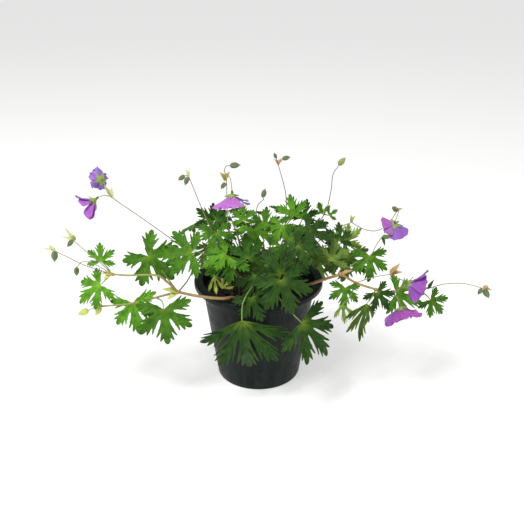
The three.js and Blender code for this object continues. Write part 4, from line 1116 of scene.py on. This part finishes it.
# %% Grow the shoots and stems
def spray(name, parts):
    """One stem with all that it carries."""
    x, y = parts["root"]
    kind, *path = parts["rise"]
    rows = [(kind, (x, y, SOIL_TOP - ROOT_DEPTH), (x, y, SOIL_TOP + NECK), *path), *parts.get("stalks", ())]
    stalks = []
    for kind, *path in rows:
        start, end, tint, end_tint = STEM_KINDS[kind]
        path = [cup_foot(FLOWERS[spot]) if isinstance(spot, str) else spot for spot in path]
        stalks.append(stalk(path, start, end, TINTS[tint], TINTS[end_tint]))
    blades = []
    for path, tip, face, tint, *form in parts.get("leaves", ()):
        blade, stem = leaf(path, tip, face, tint, **(form[0] if form else {}))
        blades.append(blade)
        stalks.append(stem)
    stalks += [knob(*row) for row in parts.get("joints", ())]
    scales = [scale for row in parts.get("bracts", ()) for scale in bracts(*row)]
    groups = {
        "stalks": stalks,
        "leaves": blades,
        "bracts": scales,
        "buds": [bud(*row) for row in parts.get("buds", ())],
        "sepals": [part for flower in parts.get("flowers", ()) for part in calyx(FLOWERS[flower])],
    }
    for group, members in groups.items():
        if members:
            piece(f"{name}_{group}", members, name)
    print(name, {group: len(members) for group, members in groups.items() if members})


for name, parts in SHOOTS.items():
    spray(name, parts)
for name, parts in STEMS.items():
    spray(name, parts)

# %% [markdown]
# ## The pot
#
# The pot is blown from thin dark plastic: a rolled lip, a wall that narrows downwards and a floor with drainage
# holes. It could be cut from cylinders, but its section is one line that only has to be swung round the axis. A
# grid does that: one side of it runs round the pot and the other along the section, so its map follows the wall.

# %% Turned shapes
def bow(along, up, radius, start, end, steps=6):
    """Points on an arc, with its angles in degrees from the outward direction."""
    turns = [math.radians(start + (end - start) * i / steps) for i in range(steps + 1)]
    return [(along + radius * math.cos(t), up + radius * math.sin(t)) for t in turns]


def turned(name, section, around):
    """A grid swung round the Z axis. The section runs from the axis out and back to it, in millimetres."""
    bpy.ops.mesh.primitive_grid_add(x_subdivisions=around, y_subdivisions=len(section) - 1, size=1)
    made = bpy.context.object
    made.name = name
    spots = points_of(made)
    row = np.array(section)[np.rint((spots[:, 1] + 0.5) * (len(section) - 1)).astype(int)]
    turn = 2 * math.pi * spots[:, 0]
    set_points(made, np.stack([row[:, 0] * np.cos(turn), row[:, 0] * np.sin(turn), row[:, 1]], 1) * MM)
    edit_all((bpy.ops.mesh.remove_doubles, {"threshold": 1e-6}),
             (bpy.ops.mesh.normals_make_consistent, {"inside": False}))
    bpy.ops.object.shade_smooth_by_angle(angle=math.radians(35))
    return made


# %% Finish of the pot
def pot_finish():
    """Dark plastic with a green cast: dull mould grain, faint streaks down the wall, and a little dried dust."""
    made, tree, shader = surface("pot_plastic")
    spots = node(tree, "ShaderNodeTexCoord").outputs["Object"]
    tall = node(tree, "ShaderNodeMapping", {"Vector": spots, "Scale": (1, 1, 0.12)}).outputs[0]
    streaks = ramp(tree, noise(tree, 160, 5.0, vector=tall), 0.4, 0.72)
    patches = ramp(tree, noise(tree, 75, 6.0, 0.7), 0.5, 0.72)
    dust = math_node(tree, "MULTIPLY", patches, ramp(tree, noise(tree, 1300), 0.35, 0.6))
    base = blend(tree, streaks, colour("#0b1612"), colour("#162520"))
    base = blend(tree, math_node(tree, "MULTIPLY", dust, 0.16), base, colour("#77705f"))
    tree.links.new(base, shader.inputs["Base Color"])
    grain = math_node(tree, "ADD", noise(tree, 2600, 2.0), math_node(tree, "MULTIPLY", noise(tree, 60), 3.0))
    relief(tree, shader, grain, 0.06)
    worn = ramp(tree, noise(tree, 120, 4.0), 0.3, 0.7, 0.36, 0.5)
    rough = math_node(tree, "ADD", worn, math_node(tree, "MULTIPLY", dust, 0.3))
    tree.links.new(rough, shader.inputs["Roughness"])
    shader.inputs["Specular IOR Level"].default_value = 0.14
    return made


# %% The pot
POT = {"height": 107, "lip_radius": 65, "lip_height": 6, "lip_skirt": 1.2, "wall_top_radius": 57.6,
       "base_radius": 43.4, "wall_start": 1.4, "wall": 1.4, "floor": 1.6, "drain_holes": 8,
       "drain_radius": 3.4, "drain_circle": 33, "drill_length": 8}


def wall_radius(height):
    """The outside radius of the tapered wall."""
    share = (height - POT["wall_start"]) / (POT["height"] - POT["lip_skirt"] - POT["wall_start"])
    return POT["base_radius"] + (POT["wall_top_radius"] - POT["base_radius"]) * share


under = POT["height"] - POT["lip_skirt"]
foot = POT["height"] - POT["lip_height"]
lip = POT["lip_radius"]
pot_section = [
    (0, 0.5), (28, 0.5), (38.6, 0.5), (39.2, 0.0),
    *bow(POT["base_radius"] - 1.8, 1.8, 1.8, -90, -8),
    *((wall_radius(z), z) for z in (12, 30, 50, 70, 88)),
    (wall_radius(93.2), 93.2), (wall_radius(93.2) + 0.45, 94.2), (wall_radius(under - 1) + 0.25, under - 1),
    *bow(wall_radius(under) + 1.2, under - 1.1, 0.9, 180, 90, 3),
    *bow(lip - 2.4, under - 1.2, 1.1, 90, 0, 3),
    (lip - 1.25, foot + 0.6), *bow(lip - 0.65, foot + 0.6, 0.6, 180, 360, 6),
    *bow(lip - 1.6, POT["height"] - 1.6, 1.6, 0, 90, 6),
    *bow(wall_radius(under), POT["height"] - 1.4, 1.4, 90, 180, 5),
    *((wall_radius(z) - POT["wall"], z) for z in (94, 80, 60, 40, 20)),
    *reversed(bow(POT["base_radius"] - 3.4, POT["floor"] + 2, 2, -90, 0, 4)),
    (30, POT["floor"]), (0, POT["floor"]),
]
pot = turned("pot_body", pot_section, 128)

drills = []
for i in range(POT["drain_holes"]):
    turn = 2 * math.pi * (i + 0.5) / POT["drain_holes"]
    spot = Vector((POT["drain_circle"] * math.cos(turn), POT["drain_circle"] * math.sin(turn), 0)) * MM
    bpy.ops.mesh.primitive_cylinder_add(vertices=24, radius=POT["drain_radius"] * MM,
                                        depth=POT["drill_length"] * MM, location=spot)
    drills.append(bpy.context.object)
select(*drills)
bpy.ops.object.join()
drill = bpy.context.object
modify(pot, "BOOLEAN", operation="DIFFERENCE", solver="EXACT", object=drill)
bpy.data.objects.remove(drill)
pot.data.materials.clear()
pot.data.materials.append(pot_finish())
piece("pot_body", [pot], "pot")
print("pot:", len(pot.data.polygons), "faces, wall from", round(wall_radius(POT["wall_start"]), 1),
      "to", round(wall_radius(under), 1))

# %% [markdown]
# ## The potting mix
#
# Peat and bark fill the pot to a little under the lip. The bed is turned like the pot and its top is made lumpy.
# Loose crumbs, bark chips and a few dead stalks lie on it, most of them between the living stems.

# %% Finish of the potting mix
def soil_finish(name, dark, light, grain):
    """Matt crumbly stuff between two dark colours, with paler specks. The grain is in waves per metre."""
    made, tree, shader = surface(name)
    base = blend(tree, ramp(tree, noise(tree, grain, 6.0, 0.7), 0.4, 0.7), colour(dark), colour(light))
    base = blend(tree, ramp(tree, noise(tree, grain * 4, 3.0), 0.62, 0.78), base, colour("#4d3a2b"))
    tree.links.new(base, shader.inputs["Base Color"])
    relief(tree, shader, noise(tree, grain * 3, 6.0, 0.75), 0.5)
    shader.inputs["Roughness"].default_value = 0.95
    return made


peat = soil_finish("peat", "#0b0907", "#1b1510", 300)
bark = soil_finish("bark", "#1a120c", "#33241a", 500)

# %% The potting mix
SOIL = {"gap": 0.35, "crumbs": 420, "crumb_size": 2.4, "chips": 46, "chip_size": 5.0, "dead": 5}
STREW = {"edge": 3, "smallest": 0.5, "largest": 1.3, "tip": 0.4}

soil_foot = POT["floor"] + SOIL["gap"]
soil_edge = wall_radius(SOIL_TOP) - POT["wall"] - SOIL["gap"]
top_rings = [(r, SOIL_TOP) for r in np.linspace(soil_edge - 1.5, 0, 40)]
bed = turned("soil_bed", [
    (0, soil_foot), (wall_radius(soil_foot) - POT["wall"] - 2.6, soil_foot),
    (wall_radius(soil_foot + 2) - POT["wall"] - SOIL["gap"], soil_foot + 2.4),
    (soil_edge, SOIL_TOP - 1.5), *top_rings,
], 160)


def lumps(x, y):
    """The height of the bed's top over its mean, in millimetres."""
    broad = np.sin(0.31 * x + 1.3) * np.cos(0.27 * y) + 0.4 * np.sin(0.9 * (x + y))
    fine = 0.35 * np.sin(2.1 * x + 1.7 * np.sin(1.3 * y)) + 0.3 * np.sin(2.7 * y + 1.4 * np.sin(1.9 * x))
    return 0.9 * broad + fine


x, y, z = (points_of(bed) / MM).T
lift = np.where(z > SOIL_TOP - 0.1, lumps(x, y) - 0.2, 0)
set_points(bed, np.stack([x, y, z + lift], 1) * MM)
bed.data.materials.append(peat)
piece("soil_bed", [bed], "soil")


def crumb_master(name, kind, material, squash, rough):
    """An irregular lump one unit across, of which many copies lie on the bed."""
    kind()
    made = bpy.context.object
    made.name = name
    spots = points_of(made)
    set_points(made, spots * squash * np.array([[1 + chance.uniform(-rough, rough)] for _ in spots]))
    bpy.ops.object.shade_smooth_by_angle(angle=math.radians(50))
    made.data.materials.append(material)
    return hide(made)


def chip_shape():
    """A small block with bevelled edges."""
    bpy.ops.mesh.primitive_cube_add(size=1)
    modify(bpy.context.object, "BEVEL", width=0.12, segments=1)


crumbs = [crumb_master(f"crumb_{i}", lambda: bpy.ops.mesh.primitive_ico_sphere_add(subdivisions=2, radius=0.5),
                       peat if i else bark, (1, 0.85, 0.7), 0.22) for i in range(3)]
chip = crumb_master("chip", chip_shape, bark, (1.6, 0.9, 0.28), 0.12)


def strew(master, size, count, sink):
    """Copies of a master that lie on the bed, each turned and scaled by chance. Sink is a share of its size."""
    made = []
    for _ in range(count):
        out = (soil_edge - STREW["edge"]) * math.sqrt(chance.random())
        turn = chance.uniform(0, 2 * math.pi)
        scale = size * chance.uniform(STREW["smallest"], STREW["largest"])
        x, y = out * math.cos(turn), out * math.sin(turn)
        lean = [chance.uniform(-STREW["tip"], STREW["tip"]) for _ in range(2)]
        upright = Vector((*lean, 1))
        tilt = upright.to_track_quat("Z", "Y").to_matrix()
        spin = chance.uniform(0, 2 * math.pi)
        flat = np.array([[math.cos(spin), -math.sin(spin), 0], [math.sin(spin), math.cos(spin), 0], [0, 0, 1]])
        spots = points_of(master) @ (np.array(tilt) @ flat).T * scale
        made.append(copy_of(master, (spots + (x, y, SOIL_TOP + lumps(x, y) + sink * scale)) * MM, "#2c2018"))
    return made


loose = [lump for master in crumbs
         for lump in strew(master, SOIL["crumb_size"], SOIL["crumbs"] // len(crumbs), 0.05)]
piece("soil_crumbs", loose, "soil")
piece("bark_chips", strew(chip, SOIL["chip_size"], SOIL["chips"], 0.02), "soil")

dead = []
for i in range(SOIL["dead"]):
    turn = 2 * math.pi * i / SOIL["dead"] + chance.uniform(-0.3, 0.3)
    a, b, c = (np.array((math.cos(turn + bend) * out, math.sin(turn + bend) * out))
               for out, bend in ((18, 0), (32, 0.3), (46, 0.35)))
    lies = [(*spot, SOIL_TOP + lumps(*spot) + high) for spot, high in ((a, 0.4), (b, 2.6), (c, 0.9))]
    dead.append(stalk(lies, 0.9, 0.5, "#33271c", "#4a382a"))
piece("dead_stalks", dead, "soil")
print("soil pieces:", len(loose), "crumbs,", SOIL["chips"], "chips,", len(dead), "dead stalks")
